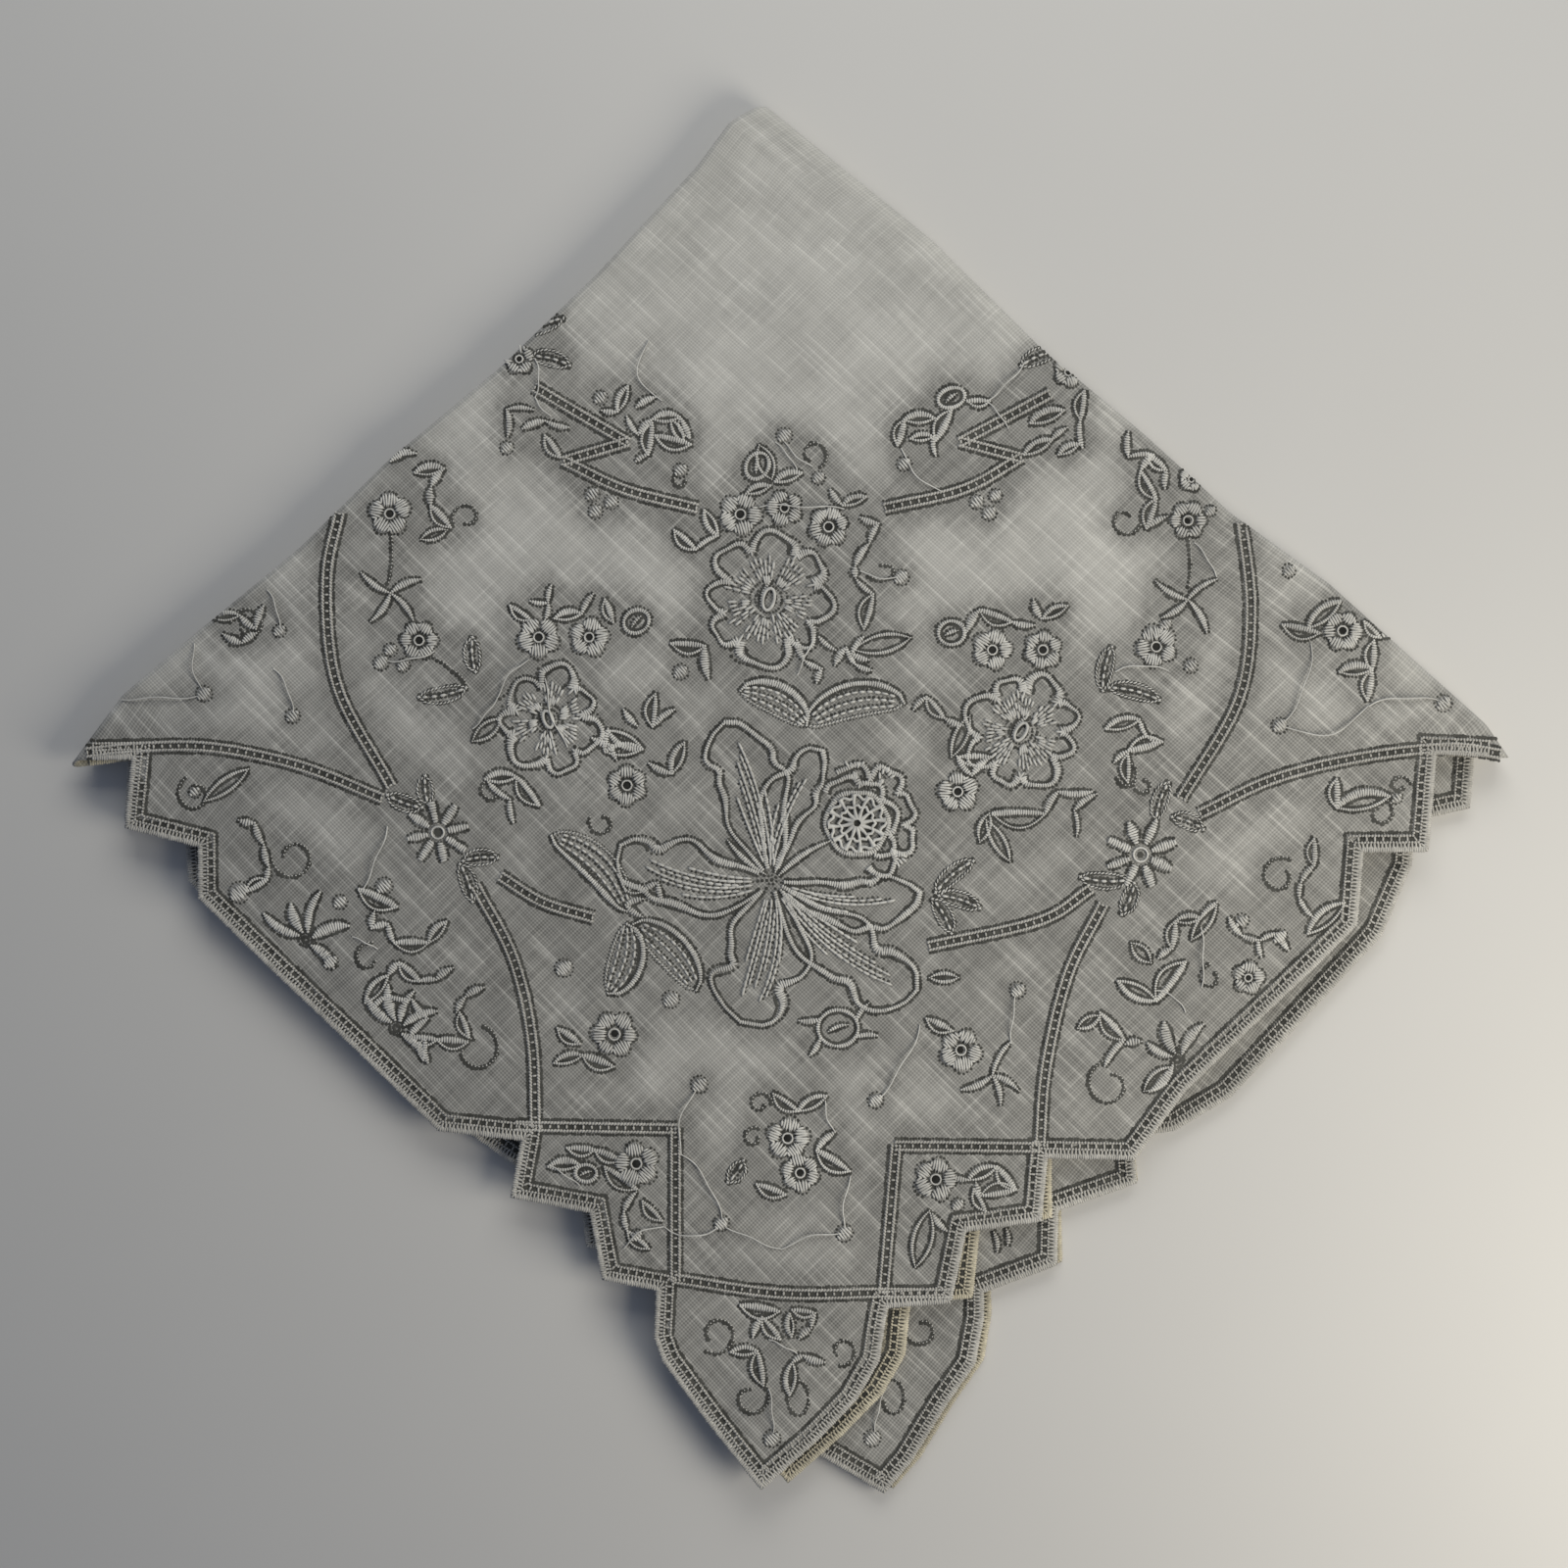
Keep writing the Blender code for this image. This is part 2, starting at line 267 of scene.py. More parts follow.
def linen_points(off_sheet):
    """Places of the linen's points, a distance off its middle, in millimetres."""
    right, left, top, outer, height = down_the_sides(LEFT_LENGTHS[:, None], RIGHT_LENGTHS[None, :], off_sheet)
    plan = seen_from_above(right, left, top, outer)
    x, y = plan[..., 0], plan[..., 1]
    return np.stack((x, y, face_height(x, y, height)), axis=-1).reshape(-1, 3)


# The weights of each layer, from the top: of the top pair, and of the outer one of its pair
LAYERS = {1: (1.0, 1.0), 2: (1.0, 0.0), 3: (0.0, 0.0), 4: (0.0, 1.0)}
# Stitches keep this far from a fold's edge
FOLD_MARGIN = 0.12
ALONG = np.linspace(0.0, SIDE, 60)
LEFT_FOLD_LINE = seen_from_above(0.0, ALONG, 1.0, 1.0)
RIGHT_FOLD_LINE = seen_from_above(ALONG, 0.0, 1.0, 1.0)


def depth_inside(plan, line, inside):
    """Distance of points in plan from a line, less than nothing on the side away from a given point."""
    start, leg = line[:-1], np.diff(line, axis=0)
    way = leg / np.hypot(*leg.T)[:, None]
    normal = np.stack((-way[:, 1], way[:, 0]), axis=1)
    normal *= np.sign(((inside - start) * normal).sum(axis=1))[:, None]
    offset = plan[:, None, :] - start
    along = np.clip((offset * way).sum(axis=-1), 0.0, np.hypot(*leg.T))
    away = np.hypot(*np.moveaxis(offset - along[..., None] * way, -1, 0))
    nearest = away.argmin(axis=1)
    at = np.arange(len(plan))
    return away[at, nearest] * np.sign((offset * normal).sum(axis=-1)[at, nearest])


def fold_depths(plan):
    """How far in from the left and the right fold points in plan lie."""
    return [depth_inside(plan, line, np.zeros(2)) for line in (LEFT_FOLD_LINE, RIGHT_FOLD_LINE)]


def shows(plan, layer):
    """Whether points in plan lie on the cloth, clear of the folds' edges."""
    return np.minimum(*fold_depths(plan)) > FOLD_MARGIN if layer == 1 else np.ones(len(plan), bool)


def on_layer(plan, layer, over):
    """Points in plan brought onto a layer's upper face, or a little over it, and down the bend of a fold."""
    plan = np.asarray(plan, float)
    z = face_height(*plan.T, STACK_MIDDLE + (2.5 - layer) * PITCH + LINEN / 2) + over
    if layer == 1:
        for depth, radius in zip(fold_depths(plan), (LEFT_FOLD_RADIUS, RIGHT_FOLD_RADIUS + LEFT_FOLD_RADIUS)):
            short = np.clip(radius - depth, 0.0, radius)
            z = z - (radius - np.sqrt(radius ** 2 - short ** 2))
    return np.concatenate((plan, z[:, None]), axis=1)


def lengths_of_cloth(rows, fold_reach, fold_length, fold_steps):
    """Lengths across a fold where the sheet has a row of points: coarse under, fine on top."""
    bend = list(np.linspace(-fold_length, fold_length, fold_steps + 1))
    sides = []
    for step in (COARSE_STEP, FINE_STEP):
        flat = []
        places = [fold_reach] + [row[1] for row in rows if row[1] > fold_reach]
        for near, far in zip(places, places[1:]):
            steps = math.ceil((far - near) / step)
            flat += [near + (far - near) * (at + 1) / steps for at in range(steps)]
        sides.append([place - fold_reach + fold_length for place in flat])
    return np.array([-length for length in reversed(sides[0])] + bend + sides[1])


LEFT_LENGTHS = lengths_of_cloth(LEFT_HEM, LEFT_FOLD_RADIUS, LEFT_FOLD_RADIUS * math.pi / 2, 6)
RIGHT_LENGTHS = lengths_of_cloth(RIGHT_HEM, RIGHT_FOLD_RADIUS + LEFT_FOLD_RADIUS,
                                 RIGHT_FOLD_RADIUS * math.pi / 2, 8)
# The solid stands on the origin by the middle of its box's base, so the linen does too
SOLID_POINTS = np.concatenate([linen_points(off) for off in (SOLID_SHEET / 2, -SOLID_SHEET / 2)])
PLACE = np.append((SOLID_POINTS[:, :2].min(axis=0) + SOLID_POINTS[:, :2].max(axis=0)) / 2, 0.0)
CAD_LOW, CAD_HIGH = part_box("linen_cloth")
PLACE[:2] -= np.array(((CAD_LOW + CAD_HIGH) / 2)[:2]) / MM


def in_place(points):
    """Points in the maker's millimetres brought to metres in the part's frame."""
    return (np.asarray(points, float) - PLACE) * MM


def linear(hex_colour):
    """An sRGB hex colour as Blender's linear RGBA."""
    channels = [int(hex_colour[at:at + 2], 16) / 255 for at in (1, 3, 5)]
    return tuple(c / 12.92 if c <= 0.04045 else ((c + 0.055) / 1.055) ** 2.4 for c in channels) + (1.0,)


def darker(hex_colour, share):
    """A share of an sRGB hex colour's light, as linear RGBA."""
    return tuple(share * channel for channel in linear(hex_colour)[:3]) + (1.0,)


def add_node(tree, kind, *inputs, **settings):
    """Adds a node: its inputs in turn or by their names, as values or links, and its own settings."""
    node = tree.nodes.new(kind)
    named = dict(enumerate(inputs))
    for name, value in settings.items():
        if hasattr(node, name):
            setattr(node, name, value)
        else:
            named[name.replace("_", " ")] = value
    for name, value in named.items():
        if isinstance(value, bpy.types.Node):
            value = next(socket for socket in value.outputs if socket.enabled)
        if isinstance(value, bpy.types.NodeSocket):
            tree.links.new(value, node.inputs[name])
        else:
            node.inputs[name].default_value = value
    return node


def put_in_scene(name, data):
    """An object of the given data at the origin, in the scene."""
    thing = bpy.data.objects.new(name, data)
    bpy.context.scene.collection.objects.link(thing)
    return thing


def new_material(name, base, roughness, specular=0.3, sheen=0.0):
    """A Principled material with its own constants set on the shader."""
    material = bpy.data.materials.new(name)
    material.use_nodes = True
    shader = material.node_tree.nodes["Principled BSDF"]
    for socket, value in (("Base Color", linear(base)), ("Roughness", roughness),
                          ("Specular IOR Level", specular), ("Sheen Weight", sheen)):
        shader.inputs[socket].default_value = value
    return material, material.node_tree, shader


def mottled(tree, shader, share, low, high, dark, light):
    """Colours the shader from dark to light as a share goes from low to high."""
    ramp = add_node(tree, "ShaderNodeValToRGB", share)
    for stop, place, colour in zip(ramp.color_ramp.elements, (low, high), (dark, light)):
        stop.position = place
        stop.color = colour
    tree.links.new(ramp.outputs["Color"], shader.inputs["Base Color"])


# The weave: threads to the metre, slub lengths in millimetres, and how far apart the threads' noise lies
THREADS_PER_METRE = 2270.0
SLUB_OF_WARP, SLUB_OF_WEFT = 15.0, 9.0
OWN_START, OWN_PLACE = 61.0, 37.0


def plain_woven_linen():
    """Fine sheer linen, about 23 threads to the centimetre: the eye sees a soft grid with short slubs."""
    material, tree, shader = new_material("plain_woven_linen", "#b9b6ae", 0.85, sheen=0.15)
    shader.inputs["Sheen Roughness"].default_value = 0.6
    cloth = add_node(tree, "ShaderNodeUVMap", uv_map="cloth")
    worked = add_node(tree, "ShaderNodeAttribute", attribute_name="worked").outputs["Fac"]
    wrong = add_node(tree, "ShaderNodeAttribute", attribute_name="wrong_side").outputs["Fac"]
    at = add_node(tree, "ShaderNodeSeparateXYZ", cloth).outputs

    def threads(along, aside, length):
        """Threads side by side along one way of the cloth: the tone of each, and how near its middle is."""
        count = add_node(tree, "ShaderNodeMath", aside, THREADS_PER_METRE, operation="MULTIPLY")
        number = add_node(tree, "ShaderNodeMath", count, operation="FLOOR")
        own = add_node(tree, "ShaderNodeTexWhiteNoise", noise_dimensions="1D", W=number)
        run = add_node(tree, "ShaderNodeMath", along, 1000.0 / length, operation="MULTIPLY")
        shift = add_node(tree, "ShaderNodeMath", own, OWN_START, operation="MULTIPLY")
        shifted = add_node(tree, "ShaderNodeMath", run, shift, operation="ADD")
        apart = add_node(tree, "ShaderNodeMath", own, OWN_PLACE, operation="MULTIPLY")
        where = add_node(tree, "ShaderNodeCombineXYZ", shifted, apart)
        tone = add_node(tree, "ShaderNodeTexNoise", where, noise_dimensions="2D", Scale=1.0, Detail=1.0)
        return tone, add_node(tree, "ShaderNodeMath", count, 0.5, operation="PINGPONG")

    warp, warp_middle = threads(at["X"], at["Y"], SLUB_OF_WARP)
    weft, weft_middle = threads(at["Y"], at["X"], SLUB_OF_WEFT)
    middles = add_node(tree, "ShaderNodeMath", warp_middle, weft_middle, operation="ADD")
    blotches = add_node(tree, "ShaderNodeTexNoise", cloth, noise_dimensions="2D", Scale=95.0, Detail=3.0,
                        Roughness=0.6)
    tone = add_node(tree, "ShaderNodeMapRange", blotches, 0.3, 0.7, 0.91, 1.09)
    weave = add_node(tree, "ShaderNodeMapRange", middles, 0.0, 1.0, -0.22, 0.22)
    for thread, low, high, least, most in (
            (warp, 0.25, 0.75, -0.07, 0.07), (weft, 0.25, 0.75, -0.07, 0.07),
            (warp, 0.63, 0.70, 0.0, 0.12), (weft, 0.69, 0.77, 0.0, 0.06)):
        uneven = add_node(tree, "ShaderNodeMapRange", thread, low, high, least, most)
        weave = add_node(tree, "ShaderNodeMath", weave, uneven, operation="ADD")
    open_weave = add_node(tree, "ShaderNodeMapRange", worked, 0.0, 1.0, 0.8, 2.2)
    shown = add_node(tree, "ShaderNodeMath", weave, open_weave, operation="MULTIPLY")
    tone = add_node(tree, "ShaderNodeMath", tone, shown, operation="ADD")
    # Painted shade: the linen darkens where the worked share is high, near the needlework and lower down the
    # cloth
    shade = add_node(tree, "ShaderNodeMapRange", worked, 0.0, 1.0, 0.99, 0.56)
    tone = add_node(tree, "ShaderNodeMath", tone, shade, operation="MULTIPLY")
    side = add_node(tree, "ShaderNodeMix", data_type="RGBA", Factor=wrong, A=linear("#b8b7b1"),
                    B=linear("#b9b39f"))
    grey = add_node(tree, "ShaderNodeCombineColor", tone, tone, tone)
    tinted = add_node(tree, "ShaderNodeMix", data_type="RGBA", blend_type="MULTIPLY", Factor=1.0,
                      A=side, B=grey)
    tree.links.new(tinted.outputs["Result"], shader.inputs["Base Color"])
    bump = add_node(tree, "ShaderNodeBump", Height=middles, Strength=0.5, Distance=0.00012)
    tree.links.new(bump.outputs["Normal"], shader.inputs["Normal"])
    return material


def cotton_thread(name, base):
    """Mercerised cotton thread: near white with a soft gloss, a little uneven along its length."""
    material, tree, shader = new_material(name, base, 0.55, 0.4, 0.2)
    at = add_node(tree, "ShaderNodeTexCoord").outputs["Object"]
    uneven = add_node(tree, "ShaderNodeTexNoise", at, Scale=900.0, Detail=2.0)
    soiled = add_node(tree, "ShaderNodeTexNoise", at, Scale=60.0, Detail=2.0)
    both = add_node(tree, "ShaderNodeMath", uneven, soiled, operation="MULTIPLY")
    mottled(tree, shader, both, 0.12, 0.36, darker(base, 0.66), linear(base))
    return material


def shaded_openwork(name, base):
    """The dark between drawn threads and in needle holes, where the layers below lie in shade."""
    material, tree, shader = new_material(name, base, 0.95, 0.1)
    at = add_node(tree, "ShaderNodeTexCoord").outputs["Object"]
    depth = add_node(tree, "ShaderNodeTexNoise", at, Scale=420.0, Detail=1.0)
    mottled(tree, shader, depth, 0.35, 0.65, darker(base, 0.6), linear(base))
    return material


LINEN_CLOTH = plain_woven_linen()
WHITE_THREAD = cotton_thread("mercerised_cotton_thread", "#d6d5cf")
LINEN_THREAD = cotton_thread("fine_linen_thread", "#c2c0b9")
CREAM_THREAD = cotton_thread("cream_wrong_side_thread", "#cdc6b0")
OPENWORK = shaded_openwork("shaded_openwork", "#565652")
EYELET_SHADE = shaded_openwork("deep_eyelet_shade", "#343432")


# Stitch lines: every path is a run of points with half its stitch length, gathered by the way it is sewn
GATHERED = {}


def gather(kind, points, half, layer=1, over=0.0, closed=False):
    """Keeps a path in plan for one kind of stitch, cut where it goes over a fold; half may vary along it."""
    plan = np.asarray(points, float)
    half = np.broadcast_to(np.asarray(half, float), (len(plan),))
    points = on_layer(plan, layer, over)
    seen = shows(plan, layer)
    if seen.all():
        GATHERED.setdefault(kind, []).append((points, half, closed))
        return
    ends = np.flatnonzero(np.diff(np.concatenate(([0], seen.astype(int), [0]))))
    for first, last in zip(ends[::2], ends[1::2]):
        if last - first > 1:
            GATHERED.setdefault(kind, []).append((points[first:last], half[first:last], False))


def path_mesh(name, paths):
    """The gathered paths as one mesh of edges, with the stitch's half length at each point."""
    points, halves, edges = [], [], []
    count = 0
    for path, half, closed in paths:
        points.append(in_place(path))
        halves.append(half * MM)
        run = [(count + at, count + at + 1) for at in range(len(path) - 1)]
        edges += run + ([(count + len(path) - 1, count)] if closed else [])
        count += len(path)
    mesh = bpy.data.meshes.new(name)
    mesh.from_pydata(np.concatenate(points).tolist(), edges, [])
    half_length = mesh.attributes.new("half_length", "FLOAT", "POINT")
    half_length.data.foreach_set("value", np.concatenate(halves))
    return mesh


def open_tree(name, sizes):
    """A new tree for gathered paths, with its named sizes: what it is given, and each point's half length."""
    tree = bpy.data.node_groups.new(name, "GeometryNodeTree")
    for in_out in ("INPUT", "OUTPUT"):
        tree.interface.new_socket("Geometry", in_out=in_out, socket_type="NodeSocketGeometry")
    for size, value in sizes.items():
        kind = "NodeSocketInt" if isinstance(value, int) else "NodeSocketFloat"
        tree.interface.new_socket(size, in_out="INPUT", socket_type=kind).default_value = value
    tree.interface.new_socket("Finish", in_out="INPUT", socket_type="NodeSocketMaterial")
    given = add_node(tree, "NodeGroupInput").outputs
    half = add_node(tree, "GeometryNodeInputNamedAttribute", data_type="FLOAT", Name="half_length")
    return tree, given, half


def close_tree(tree, given, result):
    """Ends a tree in one plain mesh with its finish."""
    real = add_node(tree, "GeometryNodeRealizeInstances", result)
    done = add_node(tree, "GeometryNodeSetMaterial", real, Material=given["Finish"])
    add_node(tree, "NodeGroupOutput", done)
    return tree


def stitch_tree():
    """Lays stitches across a path, a pitch apart: each is a small spindle of thread, a little uneven."""
    tree, given, half = open_tree("stitches_across_a_path", {
        "Pitch": 0.00045, "Thickness": 0.0002, "Slant": 0.0, "Scatter": 0.15, "Seed": 0})

    def uneven(low, high, offset):
        """A random number for each stitch, the same in every run."""
        seed = add_node(tree, "FunctionNodeIntegerMath", given["Seed"], offset, operation="ADD")
        return add_node(tree, "FunctionNodeRandomValue", data_type="FLOAT", Min=low, Max=high, Seed=seed)

    curve = add_node(tree, "GeometryNodeMeshToCurve", given["Geometry"])
    even = add_node(tree, "GeometryNodeResampleCurve", curve, mode="LENGTH", Length=given["Pitch"])
    tangent = add_node(tree, "GeometryNodeInputTangent")
    across = add_node(tree, "ShaderNodeVectorMath", (0.0, 0.0, 1.0), tangent, operation="CROSS_PRODUCT")
    level = add_node(tree, "ShaderNodeVectorMath", across, operation="NORMALIZE")
    slant = add_node(tree, "ShaderNodeMath", given["Slant"], uneven(-0.14, 0.14, 2), operation="ADD")
    leaned = add_node(tree, "ShaderNodeVectorMath", tangent, operation="SCALE", Scale=slant)
    lie = add_node(tree, "ShaderNodeVectorMath", level, leaned, operation="ADD")
    turn = add_node(tree, "FunctionNodeAlignRotationToVector", axis="Z", Vector=lie)
    less = add_node(tree, "ShaderNodeMath", 1.0, given["Scatter"], operation="SUBTRACT")
    more = add_node(tree, "ShaderNodeMath", 1.0, given["Scatter"], operation="ADD")
    length = add_node(tree, "ShaderNodeMath", half, uneven(less, more, 5), operation="MULTIPLY")
    thick = add_node(tree, "ShaderNodeMath", given["Thickness"], uneven(less, more, 9), operation="MULTIPLY")
    size = add_node(tree, "ShaderNodeCombineXYZ", thick, thick, length)
    spindle = add_node(tree, "GeometryNodeMeshUVSphere", Segments=5, Rings=3, Radius=1.0)
    laid = add_node(tree, "GeometryNodeInstanceOnPoints", even, Instance=spindle, Rotation=turn, Scale=size)
    return close_tree(tree, given, add_node(tree, "GeometryNodeSetShadeSmooth", laid))


def strand_tree():
    """Runs a round or flattened strand along a path."""
    tree, given, half = open_tree("strand_along_a_path", {"Step": 0.0008, "Flatness": 1.0})
    curve = add_node(tree, "GeometryNodeMeshToCurve", given["Geometry"])
    even = add_node(tree, "GeometryNodeResampleCurve", curve, mode="LENGTH", Length=given["Step"])
    upright = add_node(tree, "GeometryNodeSetCurveNormal", even, mode="Z_UP")
    ring = add_node(tree, "GeometryNodeCurvePrimitiveCircle", Resolution=6, Radius=1.0)
    flat = add_node(tree, "ShaderNodeCombineXYZ", 1.0, given["Flatness"], 1.0)
    oval = add_node(tree, "GeometryNodeTransform", ring, Scale=flat)
    swept = add_node(tree, "GeometryNodeCurveToMesh", upright, Profile_Curve=oval, Scale=half, Fill_Caps=True)
    return close_tree(tree, given, add_node(tree, "GeometryNodeSetShadeSmooth", swept))


def pit_tree():
    """Sets a low dark dimple on every point: a needle hole or eyelet, painted with the shade seen in it, and
    beside stitches with the threads' shadow too.
    """
    tree, given, half = open_tree("needle_hole_shade_at_a_point", {"Height": 0.00004})
    size = add_node(tree, "ShaderNodeCombineXYZ", half, half, given["Height"])
    dimple = add_node(tree, "GeometryNodeMeshCone", Vertices=6, Radius_Top=0.0, Radius_Bottom=1.0, Depth=1.0)
    return close_tree(tree, given, add_node(tree, "GeometryNodeInstanceOnPoints", given["Geometry"],
                                            Instance=dimple, Scale=size))


def worked_piece(name, kind, tree, finish, **sizes):
    """Runs a tree over the gathered paths of one kind, and keeps the result as a plain mesh."""
    host = put_in_scene(name + "_paths", path_mesh(name + "_paths", GATHERED[kind]))
    modifier = host.modifiers.new("work", "NODES")
    modifier.node_group = tree
    sizes["Finish"] = finish
    for item in tree.interface.items_tree:
        if item.in_out == "INPUT" and item.name in sizes:
            modifier[item.identifier] = sizes[item.name]
    bpy.context.view_layer.update()
    mesh = bpy.data.meshes.new_from_object(host.evaluated_get(bpy.context.evaluated_depsgraph_get()))
    mesh.name = name
    host.modifiers.remove(modifier)
    bpy.data.objects.remove(host)
    piece = put_in_scene(name, mesh)
    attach(piece, "root")
    return piece


def beside(points, distance):
    """A path to the left of another, its corners mitred."""
    points = np.asarray(points, float)
    steps = np.diff(points, axis=0)
    steps /= np.linalg.norm(steps, axis=1)[:, None]
    before = np.vstack((steps[:1], steps))
    after = np.vstack((steps, steps[-1:]))
    middle = before + after
    middle /= np.maximum(np.linalg.norm(middle, axis=1), 1e-6)[:, None]
    lean = np.clip((middle * before).sum(axis=1), 0.45, 1.0)
    normal = np.stack((-middle[:, 1], middle[:, 0]), axis=1)
    return points + normal * (distance / lean)[:, None]


HEM_STEP = 1.5


def hem_places(rows):
    """Places along a hem a step apart, with one at every corner."""
    return np.unique(np.concatenate([np.linspace(a[1], b[1], max(2, int((b[1] - a[1]) / HEM_STEP)))
                                     for a, b in zip(rows, rows[1:])]))


def hem_path(layer):
    """The outline of a layer's hems in plan, from its left tip by the tab to its right tip."""
    down = seen_from_above(hem_places(LEFT_HEM), SIDE, *LAYERS[layer])
    up = seen_from_above(SIDE, hem_places(RIGHT_HEM), *LAYERS[layer])
    return np.vstack((down, up[::-1][1:]))


# The hem's rows, from the cloth's edge inwards, in millimetres
SHADE_STRIP_ROW = 1.5
FRINGE_ROW = 0.42
WHIP_ROW = 1.0
OUTER_CORD = 1.55
HOLE_ROW = 2.08
INNER_CORD = 2.6
DRAWN_LINE = 3.08


def work_hem(layer):
    """Whipped edge, a row of pin-stitch holes between two cords, and a drawn line inside them."""
    edge = hem_path(layer) if layer == 1 else hem_path(layer)[1:-1]
    side = "cream" if layer in (2, 4) else "white"
    # A flat dark strip painted with the shade seen through the drawn holes, under the cords and rungs
    gather("shade under drawn threads", beside(edge, SHADE_STRIP_ROW), 1.15, layer, 0.0)
    for kind, row, half, over in (
            (" fringe", FRINGE_ROW, 0.55, 0.02), (" whip", WHIP_ROW, 0.62, 0.08),
            (" cord", OUTER_CORD, 0.25, 0.14), (" cord", INNER_CORD, 0.25, 0.14),
            (" rung", HOLE_ROW, 0.5, 0.08)):
        gather(side + kind, beside(edge, row), half, layer, over)
    # The drawn line is a row of dark discs painted with its holes' shade
    pit_row(edge, 0.46, 0.3, DRAWN_LINE, layer, "hem pits")


def places_in_weave():
    """Where each point lies in the opened cloth: the hems are cut across its straight threads."""
    lengths = np.meshgrid(LEFT_LENGTHS, RIGHT_LENGTHS, indexing="ij")
    moves = hem_moves(*down_the_sides(*lengths)[:4])
    return np.stack([length + np.sign(length) * move for length, move in zip(lengths, moves)], axis=-1) * MM


def make_linen():
    """The folded linen as one closed sheet: outer face, inner face and rim."""
    rows, columns = len(LEFT_LENGTHS), len(RIGHT_LENGTHS)
    points = np.concatenate([linen_points(off) for off in (LINEN / 2, -LINEN / 2)])
    at = np.arange(rows * columns).reshape(rows, columns)
    quads = np.stack((at[:-1, :-1], at[1:, :-1], at[1:, 1:], at[:-1, 1:]), axis=-1).reshape(-1, 4)
    rim = np.concatenate((at[0, :], at[1:-1, -1], at[-1, ::-1], at[-2:0:-1, 0]))
    under = rows * columns
    rim_quads = np.stack((rim, np.roll(rim, -1), np.roll(rim, -1) + under, rim + under), axis=-1)
    quads = np.concatenate((quads, quads[:, ::-1] + under, rim_quads))
    mesh = bpy.data.meshes.new("folded_linen")
    mesh.from_pydata(in_place(points).tolist(), [], quads.tolist())
    sheet = bmesh.new()
    sheet.from_mesh(mesh)
    bmesh.ops.recalc_face_normals(sheet, faces=sheet.faces[:])
    sheet.to_mesh(mesh)
    sheet.free()
    mesh.shade_smooth()
    flat = np.tile(places_in_weave().reshape(-1, 2), (2, 1))
    corners = np.empty(len(mesh.loops), np.int32)
    mesh.loops.foreach_get("vertex_index", corners)
    mesh.uv_layers.new(name="cloth").data.foreach_set("uv", flat[corners].ravel())
    wrong = np.repeat((0.0, 1.0), under)
    # The worked attribute carries the painted shade near needlework that the linen's shader darkens by
    for name, values in (("wrong_side", wrong), ("worked", needlework_shade_share(points))):
        mesh.attributes.new(name, "FLOAT", "POINT").data.foreach_set("value", values)
    mesh.materials.append(LINEN_CLOTH)
    linen = put_in_scene("folded_linen", mesh)
    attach(linen, "root")
    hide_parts("linen_cloth")
    return linen


# The map of needlework that the linen's painted shade follows: half its side and how far its two soft copies
# spread, in millimetres
MAP_HALF = 130
CLOSE_BY, FURTHER_OFF = 1.3, 4.2


def needlework_shade_share(points):
    """How much painted shade each point of the linen gets, from 0 to 1, seen from above: more near
    needlework, and more lower down the cloth.
    """
    def cells(places):
        """The square millimetre that each place is in."""
        return tuple(np.clip((places[:, :2].T + MAP_HALF).astype(int), 0, 2 * MAP_HALF - 1))

    counts = np.zeros((2 * MAP_HALF, 2 * MAP_HALF))
    for paths in GATHERED.values():
        for path, _half, _closed in paths:
            np.add.at(counts, cells(path), 1.0)
    spreads = []
    for breadth in (CLOSE_BY, FURTHER_OFF):
        spread = np.exp(-(np.arange(-11, 12) / breadth) ** 2)
        spread /= spread.sum()
        soft = np.minimum(counts, 2.0)
        for axis in (0, 1):
            soft = np.apply_along_axis(np.convolve, axis, soft, spread, mode="same")
        spreads.append(soft[cells(points)])
    near, about = spreads
    y = points[:, 1]
    # Painted shade also darkens the cloth below about 30 mm up, a little less towards the tab
    below = (1 - fade(30.0 - y, 42.0)) * (0.55 + 0.45 * fade(-20.0 - y, 40.0))
    return np.clip(0.44 * near + 1.3 * about + 0.40 * below, 0.0, 1.0)


# Whitework: each motif is drawn from a few named sizes, in millimetres seen from above
NEEDLE = np.random.default_rng(23)
PIT_PITCH = 0.5
PIT_OVER = 0.015
RUNNING_OVER = 0.14


def curve_between(start, end, bend=0.0, step=0.8):
    """A shallow arc; bend is its rise as a share of its length, to the left of its way."""
    start, end = np.asarray(start, float), np.asarray(end, float)
    span = end - start
    count = max(5, int(np.hypot(*span) / step) + 1)
    t = np.linspace(0.0, 1.0, count)[:, None]
    return start + t * span + 4 * bend * t * (1 - t) * np.array((-span[1], span[0]))


def reach_from(x, y, turn, length):
    """The end of a straight line of the given turn and length."""
    return np.array((x + length * math.cos(math.radians(turn)), y + length * math.sin(math.radians(turn))))


def ring_about(x, y, radius, lobes=0, wave=0.0, turn=0.0, squeeze=1.0, step=0.7):
    """A closed round or lobed line."""
    count = max(12, int(2 * math.pi * radius / step))
    angle = np.linspace(0.0, 2 * math.pi, count, endpoint=False)
    away = radius * (1 + wave * np.cos(lobes * angle))
    lean = math.radians(turn)
    across, up = away * np.cos(angle), away * np.sin(angle) * squeeze
    return np.stack((x + across * math.cos(lean) - up * math.sin(lean),
                     y + across * math.sin(lean) + up * math.cos(lean)), axis=1)


